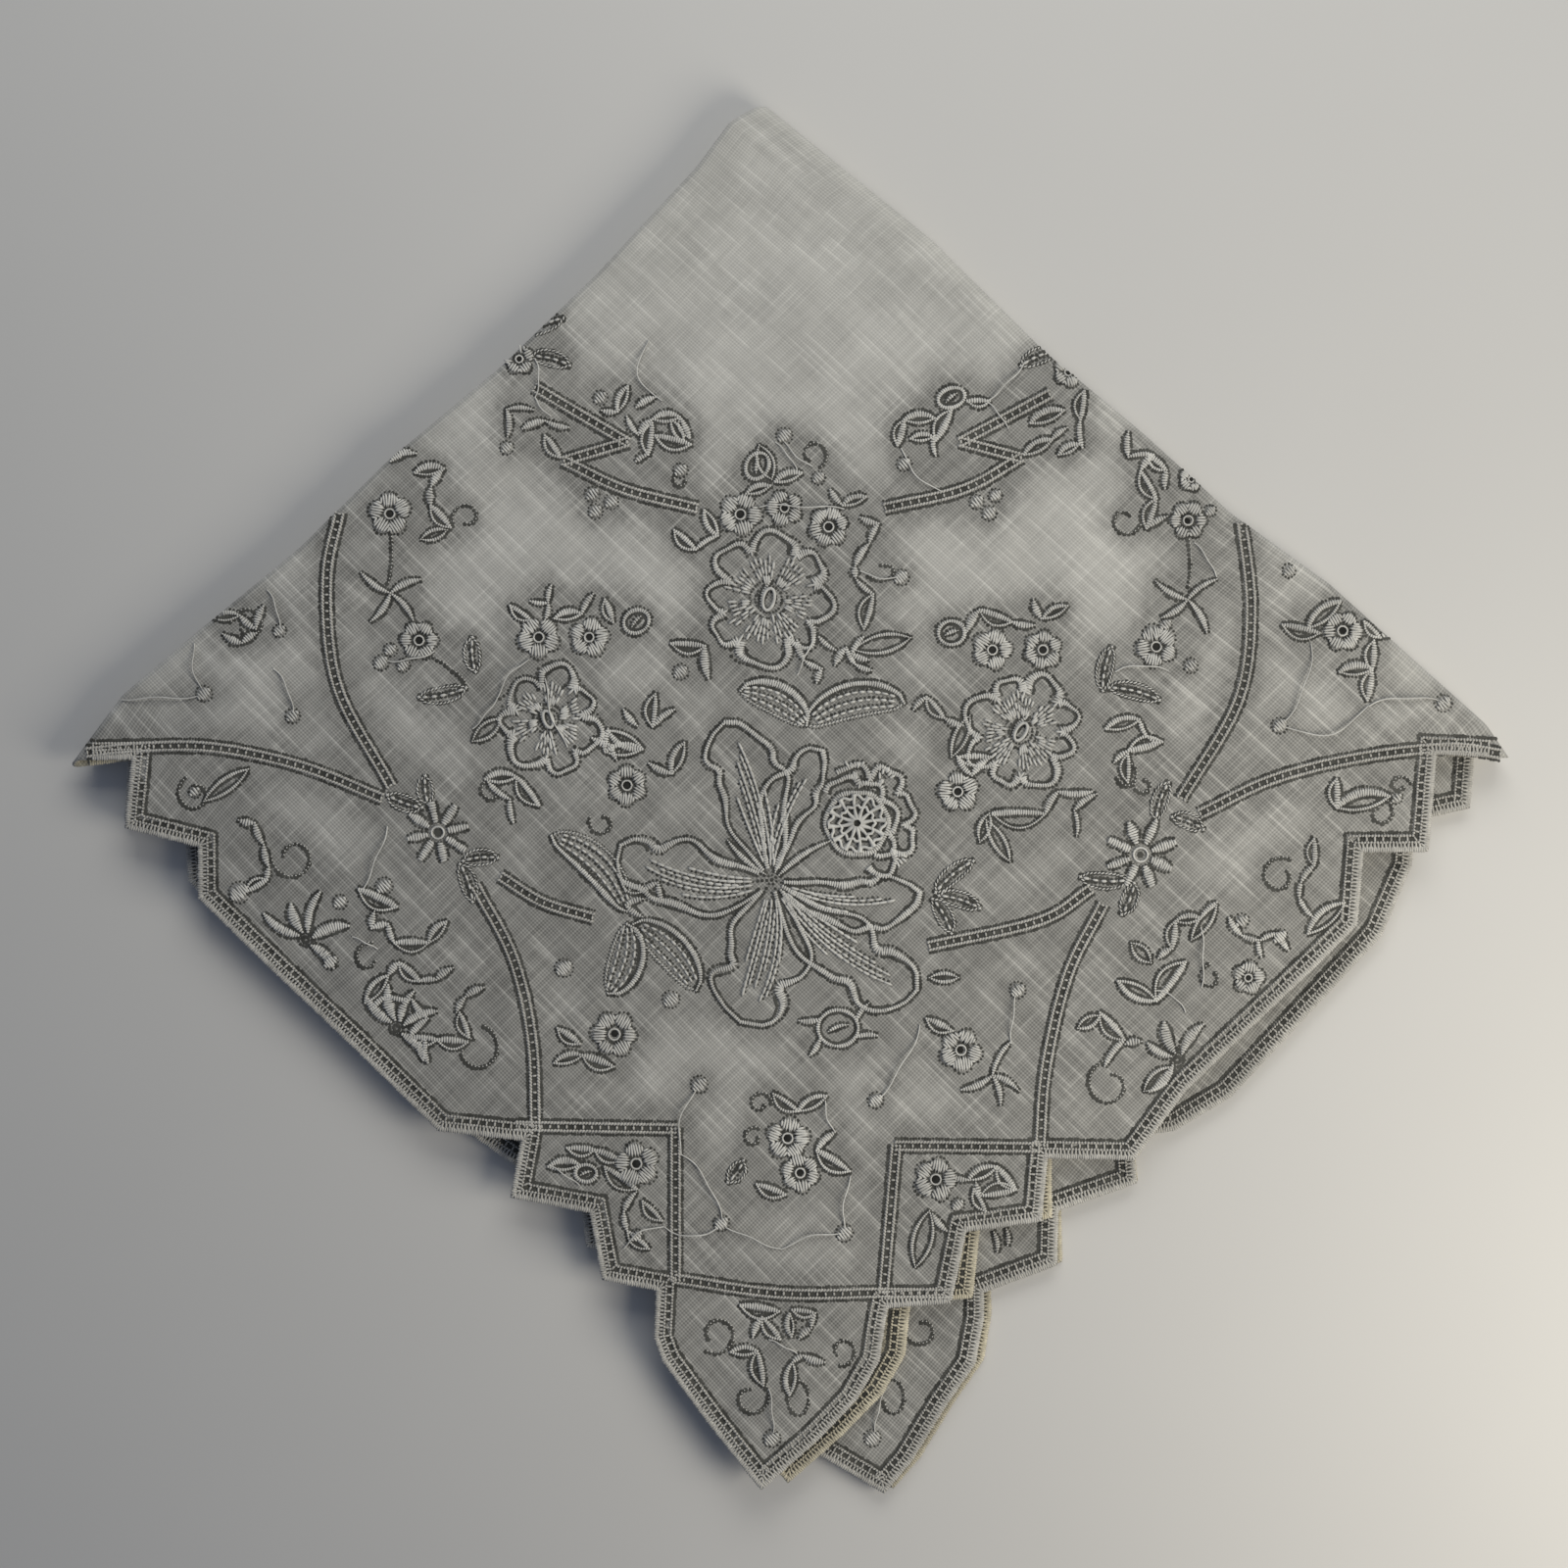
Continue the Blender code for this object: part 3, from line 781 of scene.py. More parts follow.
def spaced(points, pitch, closed=False):
    """Places a pitch apart along a path, and the path's own way there."""
    points = np.vstack((points, points[:1])) if closed else np.asarray(points)
    legs = np.hypot(*np.diff(points, axis=0).T)
    walked = np.concatenate(([0.0], np.cumsum(legs)))
    at = np.linspace(0.0, walked[-1], max(2, int(walked[-1] / pitch) + 1))
    places = np.stack([np.interp(at, walked, points[:, k]) for k in (0, 1)], axis=1)
    way = np.gradient(places, axis=0)
    way /= np.maximum(np.hypot(*way.T), 1e-9)[:, None]
    return places, way, at / max(walked[-1], 1e-9)


def pits(places, size, layer=1, kind="pits"):
    """Needle holes at places in plan, a little uneven: dark discs painted with the holes' shade."""
    places = places + NEEDLE.uniform(-0.07, 0.07, places.shape)
    radius = size * NEEDLE.uniform(0.75, 1.25, len(places))
    seen = shows(places, layer)
    if seen.any():
        GATHERED.setdefault(kind, []).append((on_layer(places[seen], layer, PIT_OVER), radius[seen], False))


def pit_row(line, pitch, size, aside=0.0, layer=1, kind="pits"):
    """Needle holes a pitch apart along a line, or to the left of it."""
    pits(spaced(beside(line, aside) if aside else line, pitch)[0], size, layer, kind)


def pit_ring(x, y, radius, size, step=0.5, layer=1):
    """Needle holes round a place."""
    pits(ring_about(x, y, radius, step=step), size, layer)


def eye(x, y, radius, half, over, **shape):
    """A ring of laid thread."""
    gather("strand", ring_about(x, y, radius, **shape), half, 1, over, True)


def running_row(line, stitch, aside, pitch, size):
    """A row of short running stitches with needle holes beside it."""
    gather("running", line, stitch, 1, RUNNING_OVER)
    pit_row(line, pitch, size, aside)


def flank(points, half, layer=1, closed=False, size=0.29):
    """Needle holes close by both sides of a line of stitches: dark discs painted with the holes' shade and
    the stitches' shadow.
    """
    half = np.broadcast_to(np.asarray(half, float), (len(points),))
    places, way, at = spaced(points, PIT_PITCH, closed)
    widths = np.append(half, half[0]) if closed else half
    reach = np.interp(at, np.linspace(0.0, 1.0, len(widths)), widths) + 0.15
    normal = np.stack((-way[:, 1], way[:, 0]), axis=1)
    for side in (-1, 1):
        pits(places + side * normal * reach[:, None], size, layer)


def by_hand(count):
    """Shares near one that drift along a line, as hand-worked stitches do."""
    marks = np.linspace(0, count - 1, max(3, count // 3))
    return np.interp(np.arange(count), marks, NEEDLE.uniform(0.72, 1.3, len(marks)))


def satin(points, width, layer=1, closed=False, taper=0.3, over=0.13):
    """Satin stitch along a line: wide in the middle, narrow at its ends."""
    share = np.linspace(0.0, 1.0, len(points))
    swell_of_line = 1.0 if closed else taper + (1 - taper) * np.sin(np.pi * share) ** 0.6
    half = width / 2 * swell_of_line * by_hand(len(points))
    gather("satin", points, half, layer, over, closed)
    flank(points, half, layer, closed)


def leaf(x, y, turn, length, width, bend=0.08, layer=1):
    """One long leaf of satin stitch."""
    satin(curve_between((x, y), reach_from(x, y, turn, length), bend), width, layer)


def open_leaf(x, y, turn, length, width, bend):
    """A bold side and a thin side of satin stitch, with linen between them."""
    end = reach_from(x, y, turn, length)
    satin(curve_between((x, y), end, bend + 0.10), width * 0.85, taper=0.5)
    satin(curve_between((x, y), end, bend - 0.20), 0.5, taper=0.8)


def boat(x, y, turn, length, width):
    """A lens of two thin satin lines with linen between them."""
    for side in (-1, 1):
        satin(curve_between((x, y), reach_from(x, y, turn, length), side * width / 2 / length), 0.62)


def knot(x, y, radius, layer=1):
    """A round dot of satin stitch."""
    across = np.linspace(-0.92, 0.92, 7)
    swell = np.sqrt(1 - across ** 2)
    way = reach_from(0.0, 0.0, 40.0, 1.0)
    gather("satin", (x, y) + across[:, None] * radius * way, radius * swell, layer, 0.12 + 0.22 * swell)
    pit_ring(x, y, radius + 0.2, 0.2, 0.6, layer)


def stem(points):
    """Stem stitch: a fine line of slanting stitches with holes beside them."""
    gather("stem", points, 0.3, 1, 0.1)
    flank(points, 0.16, size=0.15)


def dotted(points, layer=1, closed=False):
    """A line of small holes with a fine thread between them."""
    places = spaced(points, 0.7, closed)[0]
    pits(places, 0.42, layer)
    gather("stem", places + 0.22, 0.13, layer, 0.03)


def scroll(x, y, radius, turn, sweep, squeeze=1.0, layer=1):
    """A curl of dotted line that winds in."""
    angle = np.radians(turn + np.linspace(0.0, sweep, max(12, int(abs(sweep) / 14))))
    away = radius * np.linspace(1.0, 0.45, len(angle))
    dotted(np.stack((x + away * np.cos(angle), y + squeeze * away * np.sin(angle)), axis=1), layer)


def small_flower(x, y, radius, petals, turn):
    """An eyelet with round petals of satin stitch about it."""
    across = np.linspace(-0.9, 0.9, 7)
    swell = np.sqrt(1 - across ** 2)
    for petal in range(petals):
        way = turn + 360.0 * (petal + NEEDLE.uniform(-0.08, 0.08)) / petals
        middle = reach_from(x, y, way, 0.67 * radius)
        size = radius * (0.40 if petals < 6 else 0.34) * NEEDLE.uniform(0.9, 1.1)
        side = reach_from(0.0, 0.0, way + 90.0, 1.0)
        gather("satin", middle + 1.08 * size * across[:, None] * side, size * swell, 1, 0.10 + 0.22 * swell)
        rim = np.radians(way + np.linspace(-105, 105, 9))
        pits(middle + (size + 0.16) * np.stack((np.cos(rim), np.sin(rim)), axis=1), 0.25)
    pit_ring(x, y, 0.38 * radius, 0.30, 0.42)
    pits(np.array([(x, y)]), 0.23 * radius, kind="eyelets")
    eye(x, y, 0.25 * radius, 0.14, 0.14, step=0.3)


def star_flower(x, y, radius, petals, turn):
    """Blunt rays of padded stitch about a small ring."""
    for petal in range(petals):
        way = turn + 360.0 * petal / petals
        length = radius * NEEDLE.uniform(0.9, 1.05)
        start, end = reach_from(x, y, way, 0.36 * radius), reach_from(x, y, way, length)
        satin(curve_between(start, end, 0.0, 0.5), 0.30 * radius, taper=0.62, over=0.22)
    eye(x, y, 0.2 * radius, 0.16, 0.2, step=0.4)
    pit_ring(x, y, 0.33 * radius, 0.2)
    pits(np.array([(x, y)]), 0.12 * radius)


def fan_flower(x, y, length, turns):
    """A flower seen from its side: thick petals of satin stitch that fan out of a dark base."""
    for turn in turns:
        leaf(*reach_from(x, y, turn, 0.2 * length), turn, length * NEEDLE.uniform(0.7, 1.0), 1.8, 0.1)
    for radius in (0.5, 1.1):
        pit_ring(x, y, radius, 0.32)


def seed_rows(start, turn, length, count, spread, stitch=0.62, begins=0.12):
    """Rows of short running stitches that fan out from a place."""
    for row in range(count):
        way = turn + spread * (row / (count - 1) - 0.5)
        near = length * (begins + NEEDLE.uniform(-0.12, 0.12))
        far = length * NEEDLE.uniform(0.75, 1.0)
        line = curve_between(reach_from(*start, way, near), reach_from(*start, way, far), 0.0, 0.5)
        running_row(line, stitch, 0.32, 0.8, 0.2)


def lobed_line(x, y, radius, lobes, turn, depth=0.3, sweep=360.0):
    """A line of uneven round lobes that meet in inward points, and how near each place is to one."""
    marks = turn + np.linspace(0.0, sweep, lobes + 1)
    marks[1:-1] += NEEDLE.uniform(-0.24, 0.24, lobes - 1) * sweep / lobes
    points, near_cusp = [], []
    share = np.linspace(0.0, 1.0, 11)[:-1]
    bulge = np.sin(np.pi * share) ** 0.5
    for first, last in zip(marks, marks[1:]):
        angle = np.radians(first + (last - first) * share)
        frill = 0.035 * np.sin(3 * np.pi * share + NEEDLE.uniform(0, 6))
        away = radius * (1 - depth + depth * bulge + frill) * NEEDLE.uniform(0.89, 1.06)
        points.append(np.stack((x + away * np.cos(angle), y + away * np.sin(angle)), axis=1))
        near_cusp.append((1 - bulge) * NEEDLE.uniform(0.2, 1.2))
    return np.concatenate(points), np.concatenate(near_cusp)


def rose(x, y, radius, petals, turn):
    """An open rose: a lobed line of satin stitch, fans of short stitches, and an eye."""
    line, near_cusp = lobed_line(x, y, radius, petals, turn)
    half = (0.35 + 0.75 * near_cusp) * by_hand(len(line))
    gather("satin", line, half, 1, 0.16, True)
    flank(line, half, closed=True)
    for fan in range(petals - 1):
        way = turn + 360.0 * (fan + 0.5 + NEEDLE.uniform(-0.15, 0.15)) / (petals - 1)
        seed_rows(reach_from(x, y, way, 0.06 * radius), way, 0.58 * radius, 6, 38.0, 0.8, 0.5)
    for share in (0.12, 0.20, 0.28):
        pit_ring(x, y, share * radius, 0.24)
    eye(x, y, 0.17 * radius, 0.26, 0.3, turn=turn + 60, squeeze=0.5, step=0.4)
    leaf(*reach_from(x, y, turn + 200, 0.15 * radius), turn + 50, 0.42 * radius, 0.7)


def petal_shape(start, end, width, bend, fullness):
    """The middle line of a pointed petal or leaf, and the way out from it to its left side."""
    middle = curve_between(start, end, bend, 0.9)
    share = np.linspace(0.0, 1.0, len(middle))
    way = np.gradient(middle, axis=0)
    way /= np.hypot(*way.T)[:, None]
    normal = np.stack((-way[:, 1], way[:, 0]), axis=1)
    blunt = 0.55
    rising = blunt * fullness / (1 - fullness)
    out = width / 2 * (share / fullness) ** rising * ((1 - share) / (1 - fullness)) ** blunt
    return middle, normal * out[:, None]


def filled_leaf(start, end, width, bend):
    """A leaf with one bold side and rows of running stitch inside."""
    middle, out = petal_shape(start, end, width, bend, 0.5)
    satin(middle + out, 1.15)
    stem(middle - out)
    trim = len(middle) // 8
    for side in (-0.60, -0.075, 0.45):
        running_row((middle + side * out)[trim:len(middle) - trim], 0.55, 0.36, 0.68, 0.27)


def chain_leaf(start, end):
    """A small leaf edged and filled with fine stitches."""
    middle, out = petal_shape(start, end, 2.5, 0.06, 0.5)
    for line in (middle - out, middle + out):
        gather("stem", line, 0.36, 1, 0.12)
        pit_row(line, 0.6, 0.36)
    gather("running", middle[1:-1], 0.5, 1, RUNNING_OVER)
    for side in (-0.35, 0.35):
        pit_row(middle, 0.6, 0.34, side)


def lily_petal(start, end, width, bend, rows, fullness):
    """A large petal: wavy sides of satin stitch, and rows of running stitch that follow its middle."""
    middle, out = petal_shape(start, end, width, bend, fullness)
    share = np.linspace(0.0, 1.0, len(middle))
    trough = 0.19
    for side in (-1, 1):
        wave = trough * np.sin(2 * np.pi * 1.8 * share + NEEDLE.uniform(0, 6)) * np.clip(2.2 * share, 0, 1)
        notch = np.exp(-((share - NEEDLE.uniform(0.64, 0.84)) / 0.055) ** 2)
        line = (middle + side * (1 + wave - 0.3 * notch)[:, None] * out)[2:]
        bold = np.clip(-wave / trough, 0, 1) * np.clip(1.3 - share, 0, 1)
        half = (0.36 + 0.30 * bold + 0.3 * notch)[2:] * by_hand(len(line))
        gather("satin", line, half, 1, 0.16)
        flank(line, half)
    for row in range(rows):
        side = (row - (rows - 1) / 2) / rows * (1.25 if row % 2 else 0.95)
        central = abs(side) < 0.3
        last = NEEDLE.uniform(0.74, 0.90) if central else NEEDLE.uniform(0.40, 0.62)
        line = (middle + side * out)[(share > 0.12) & (share < last)]
        running_row(line, 0.8, 0.36, 0.75, 0.24)
        if central:
            running_row(beside(line, 0.62)[2:-1 - row % 3], 0.7, 0.34, 0.8, 0.24)


def loose(start, end, bend, layer=1):
    """A thread left lying from one knot to the next."""
    line = curve_between(start, end, bend, 0.7)
    share = np.linspace(0.0, 1.0, len(line))
    span = np.subtract(end, start)
    line = line + np.sin(share * 9.0)[:, None] * np.array((-span[1], span[0])) * 0.02
    gather("strand", line, 0.11, layer, 0.16 + 0.5 * np.sin(np.pi * share) ** 2)


def drawn_ladder(*corners):
    """A drawn-thread line through a few places: a row of holes between two whipped cords."""
    corners = np.array(corners, float)
    if len(corners) > 2:
        t = np.linspace(0.0, len(corners) - 1.0, 24 * (len(corners) - 1) + 1)
        padded = np.vstack((2 * corners[0] - corners[1], corners, 2 * corners[-1] - corners[-2]))
        at = np.minimum(t.astype(int), len(corners) - 2)
        f = (t - at)[:, None]
        a, b, c, d = (padded[at + k] for k in range(4))
        line = 0.5 * (2 * b + (c - a) * f + (2 * a - 5 * b + 4 * c - d) * f ** 2
                      + (3 * b - a - 3 * c + d) * f ** 3)
        line = spaced(line, 1.2)[0]
    else:
        line = curve_between(*corners, 0.0, 1.5)
    # A flat dark strip painted with the shade seen through the drawn holes, under the cords and rungs
    gather("shade under drawn threads", line, 0.75)
    # The holes beside the cords are dark discs painted with their shade and the cords' shadow
    for side in (-1, 1):
        gather("white cord", beside(line, side * 0.62), 0.37, 1, 0.12)
        pit_row(line, 0.46, 0.27, side * 1.12, 1, "hem pits")
    gather("white rung", line, 0.36, 1, 0.08)


# Drawn-thread lines that part the cloth into panels
for corners in (
        ((-72, 45.5), (-74, 35), (-72.5, 18.5), (-64, 2.5)),
        ((-112, 7.7), (-104, 8.5), (-92, 8.5), (-78, 5.5), (-65.5, 0.5)),
        ((-50.5, -13.5), (-44.5, -25), (-41.5, -38), (-41, -51.5)),
        ((-46.5, -12), (-40, -16), (-32, -18.5)), ((71, 44), (72.5, 30), (70.5, 16), (61.5, 0.5)),
        ((64.5, -2), (76, 3.5), (90, 7), (104, 8.5), (112, 7.5)),
        ((49, -16.5), (43.5, -27.5), (40, -42), (39, -54.5)), ((47, -14), (39, -19), (21.5, -23)),
        ((-41, 65.5), (-26.5, 57)), ((-26.5, 57), (-36.5, 54)), ((-36.5, 54), (-27, 49.5), (-15.5, 46.5)),
        ((40.5, 64.5), (26.5, 57)), ((26.5, 57), (36, 54.5)), ((36, 54.5), (27, 49.5), (14.5, 46.5)),
        ((-44, -51.5), (-18.8, -52)), ((-18.8, -52), (-18.8, -76)),
        ((-18.8, -75.8), (-3, -78), (14, -78), (25, -78.2)), ((16.2, -54.7), (38.8, -54.9)),
        ((16.2, -54.7), (14.2, -77.8))):
    drawn_ladder(*corners)

# Eyelet flowers: x, y, radius, petals, turn
for row in (
        (-64, 45.5, 3.2, 5, 20), (-59.5, 25.5, 3.1, 6, 0), (-40.5, 26, 3.2, 5, 50),
        (-32.5, 26, 3.0, 5, 10), (-26.5, 2.5, 3.2, 6, 30), (-8.5, 45.5, 3.3, 5, 0),
        (-1.5, 46.5, 2.8, 5, 36), (5.5, 43.5, 3.2, 6, 15), (31.5, 24, 3.1, 5, 0), (39.5, 24, 3.1, 6, 20),
        (57.5, 24.5, 3.2, 5, 40), (62.5, 44.5, 3.0, 6, 0), (63, 51, 1.9, 5, 0), (26, 1.5, 3.1, 5, 25),
        (-28.5, -37, 3.6, 6, 0), (26.5, -39.5, 3.3, 5, 60), (-1, -53.5, 3.3, 5, 10), (1, -59, 3.1, 6, 40),
        (-25, -57.5, 3.4, 5, 30), (22.5, -60, 3.3, 5, 0), (72, -28, 2.5, 5, 10), (43.5, 68, 2.3, 5, 0),
        (-43.5, 70, 2.4, 5, 20), (87, 27, 3.2, 6, 0)):
    small_flower(*row)

# Star flowers: x, y, radius, petals, turn
for row in ((-56.5, -5, 5.0, 8, 12), (55, -8.5, 5.7, 8, 20)):
    star_flower(*row)

# Flowers seen from their side: x, y, length and turns of the petals
for row in ((-77.5, -22, 6.6, (148, 112, 73, 18, -45)), (-63, -36, 6.6, (134, 101, 65, 23, -48)),
            (60.8, -41.0, 6.0, (110, 54, 151, 229))):
    fan_flower(*row)

# Roses: x, y, radius, petals, turn
for row in ((-4, 32, 10.6, 8, 18), (-39, 13, 8.4, 7, 50), (36, 11, 9.4, 8, 0)):
    rose(*row)

# The large lily in the middle, its petals round one heart: end, width, bend, rows, fullness
HEART = (-3.5, -12.5)
for end, width, bend, rows, fullness in (
        ((-11.0, 12.5), 11.0, -0.04, 4, 0.62), ((-27.5, -7.0), 10.5, 0.12, 4, 0.60),
        ((-8.5, -35.0), 13.5, 0.06, 5, 0.62), ((19.5, -30.0), 11.0, -0.08, 4, 0.66),
        ((20.0, -14.5), 8.0, -0.12, 3, 0.66), ((4.5, 8.0), 7.5, 0.10, 2, 0.66)):
    lily_petal(HEART, end, width, bend, rows, fullness)
for turn, length in ((34.0, 9.5), (66.0, 5.0), (138.0, 8.0)):
    leaf(*reach_from(*HEART, turn, 1.4), turn, length, 0.9, 0.06)
for row in range(7):
    pits(curve_between(HEART, reach_from(*HEART, 30 + 52 * row, 3.0)), 0.26)

# The needle-lace wheel beside it, in its own rose
WHEEL = (10.0, -3.5)
WHEEL_RADIUS = 4.6
# A dark disc under the lace, painted with the shade seen through it
pits(np.array([WHEEL]), 0.94 * WHEEL_RADIUS)
for turn in range(0, 360, 30):
    spoke = curve_between(reach_from(*WHEEL, turn, 0.6), reach_from(*WHEEL, turn + 6, WHEEL_RADIUS), 0.05)
    gather("strand", spoke, 0.22 + 0.24 * np.linspace(-1, 1, len(spoke)) ** 2, 1, 0.30)
for radius, lobes in ((0.8, 6), (2.7, 12), (4.2, 12)):
    eye(*WHEEL, radius, 0.24, 0.34, lobes=lobes, wave=0.10, step=0.4)
satin(ring_about(*WHEEL, WHEEL_RADIUS + 0.35, 6, 0.03), 0.95, closed=True)
for radius, lobes, turn, sweep in ((7.2, 4, -60, 200), (10.2, 5, -75, 190)):
    line, near_cusp = lobed_line(*WHEEL, radius, lobes, turn, 0.2, sweep)
    gather("satin", line, 0.42 + 0.4 * near_cusp, 1, 0.16)
    flank(line, 0.42 + 0.4 * near_cusp)
for turn in (-38, 60, 92):
    seed_rows(reach_from(*WHEEL, turn, 7.2), turn, 2.6, 5, 60.0)

# Leaves with rows of stitches: start, end, width, bend
for start, end, width, bend in (
        ((-8.5, 17.5), (2, 12), 4.6, 0.12), ((2, 12), (17.5, 15.5), 5.2, 0.14),
        ((-26.5, -19.5), (-29.5, -30.5), 5.2, 0.12), ((-25.5, -19.5), (-15.5, -30), 5.2, 0.10),
        ((-26.5, -17.5), (-38.5, -5.5), 5.0, -0.12)):
    filled_leaf(start, end, width, bend)
for start, end in (
        ((-50.5, 20.5), (-51, 26)), ((-52, 18), (-59.5, 16.5)), ((49, 17.5), (50.5, 24.5)),
        ((50, 18), (58, 16)), ((22.5, -14.5), (28.5, -9.5)), ((23, -15), (29.5, -17)),
        ((22, -15.5), (25, -21)), ((57.5, -3), (59.5, 3)), ((60, -2.5), (65, -4.5)),
        ((53, -12.5), (45.5, -12)), ((54, -13), (52, -18)), ((-59, -1), (-64.5, 1.0)),
        ((-58, -0.5), (-58.5, 4)), ((-53, -10), (-51, -16)), ((-52.5, -9.5), (-47, -9)),
        ((-42, 74), (-36.5, 76.5)), ((-41.5, 70.5), (-35.5, 69)), ((36, 69), (42, 71.5)),
        ((-8, -57), (-10.5, -60.5))):
    chain_leaf(start, end)

# Round satin dots: x, y, radius
for row in (
        (-32, 48.7, 1.0), (-29, 47.5, 1.0), (-31.5, 46, 1.0), (29, 47.5, 1.0), (31, 45.7, 1.0),
        (32, 48.5, 0.9), (-18, 20.5, 1.1), (-65.5, 22, 1.1), (-64, 24, 0.9), (-62, 21.5, 0.9),
        (-36.5, -26.5, 1.3), (-19.5, -31.5, 1.2), (-81.5, 27, 0.9), (-79.5, 13.5, 1.0), (-93.5, 17, 1.1),
        (-72, -16, 1.0), (-65, -13.5, 1.2), (-73.5, -25.5, 1.1), (-15, -45, 1.2), (-11.5, -67, 1.1),
        (8, -68.5, 1.2), (13, -47.5, 1.1), (35.5, -30, 1.1), (-3.5, -101, 1.2), (-1.5, 58, 1.1),
        (17, 35.5, 1.1), (71, -19, 1.0), (77, -21.5, 1.1), (77, 12, 1.1), (103, 15.5, 1.2),
        (78.5, 36.5, 0.9), (-30.7, 64, 1.0), (-18, 52.5, 1.0), (17.5, 53.5, 1.0), (-88, -14.5, 1.5),
        (3.9, 51.3, 0.9), (59, 28, 0.9), (63, 21.5, 1.0), (-45.5, 56, 0.9), (66, 46, 0.8),
        (-95, 1.5, 0.8), (95.5, 0.5, 0.8), (-25, -69, 0.9), (26, -64, 0.9)):
    knot(*row)

# Dotted curls: x, y, radius, turn, sweep, and squeeze where one isn't round
for row in (
        (-52, 45, 2.4, 200, -300), (3, 55, 2.4, -60, 300), (52.5, 44.5, 2.5, -20, -300),
        (-79.5, -9, 3.6, 180, 350), (-95, 1, 3.0, 120, 330), (-50.5, -39.5, 3.9, 70, -330),
        (50, -45, 3.8, 110, 330), (-67.5, -25, 2.5, 80, 250), (-30.5, -3.5, 2.2, 160, 280),
        (77, -12, 3.1, 60, 340), (93, -2, 2.2, 80, -320), (66, -28, 2.0, 100, 300),
        (-12.3, -84.6, 3.3, -120, 330), (-6.9, -94.7, 3.1, 60, -330), (7.6, -87.2, 2.4, -100, 320),
        (55.5, 2.5, 1.6, 180, 260), (14, 36.5, 2.6, -150, 250, 0.7), (-5.5, -48, 1.9, 0, 330),
        (-6.5, -53.5, 1.7, 60, 300), (-18, 50.8, 1.5, 90, 260), (96, 2.5, 1.8, 10, 300, 0.8),
        (-48, 1.5, 2.0, 120, 240), (53, 4.5, 1.9, 200, 260, 1.4), (-86.5, 27.8, 2.9, 170, -320)):
    scroll(*row)
dotted(ring_about(0.6, -94.6, 2.7, turn=90, squeeze=0.62), closed=True)
for start, end in (((-64, 42.3), (-64.5, 34.5)), ((-58, 23), (-52.5, 19.0)), ((62.5, 41.3), (62.5, 34))):
    dotted(curve_between(start, end, 0.05))

# Three-leaf sprigs and open sprigs: x, y, length and turns of the leaves
for x, y, length, turns in (
        (-64, 33, 5.6, (25, 145, 235, -50)), (62.5, 32, 5.6, (35, 150, -60, 215)),
        (31.5, -43.5, 5.6, (62, -30, 205, -75)), (-45.5, 62, 4.4, (0, -88)), (-63, 54.5, 3.6, (70, 150, 10)),
        (44.5, -1.5, 4.0, (37, -85)), (-39, 31.5, 3.2, (80, -100, 175))):
    for turn in turns:
        leaf(x, y, turn, length * NEEDLE.uniform(0.85, 1.1), 1.0)

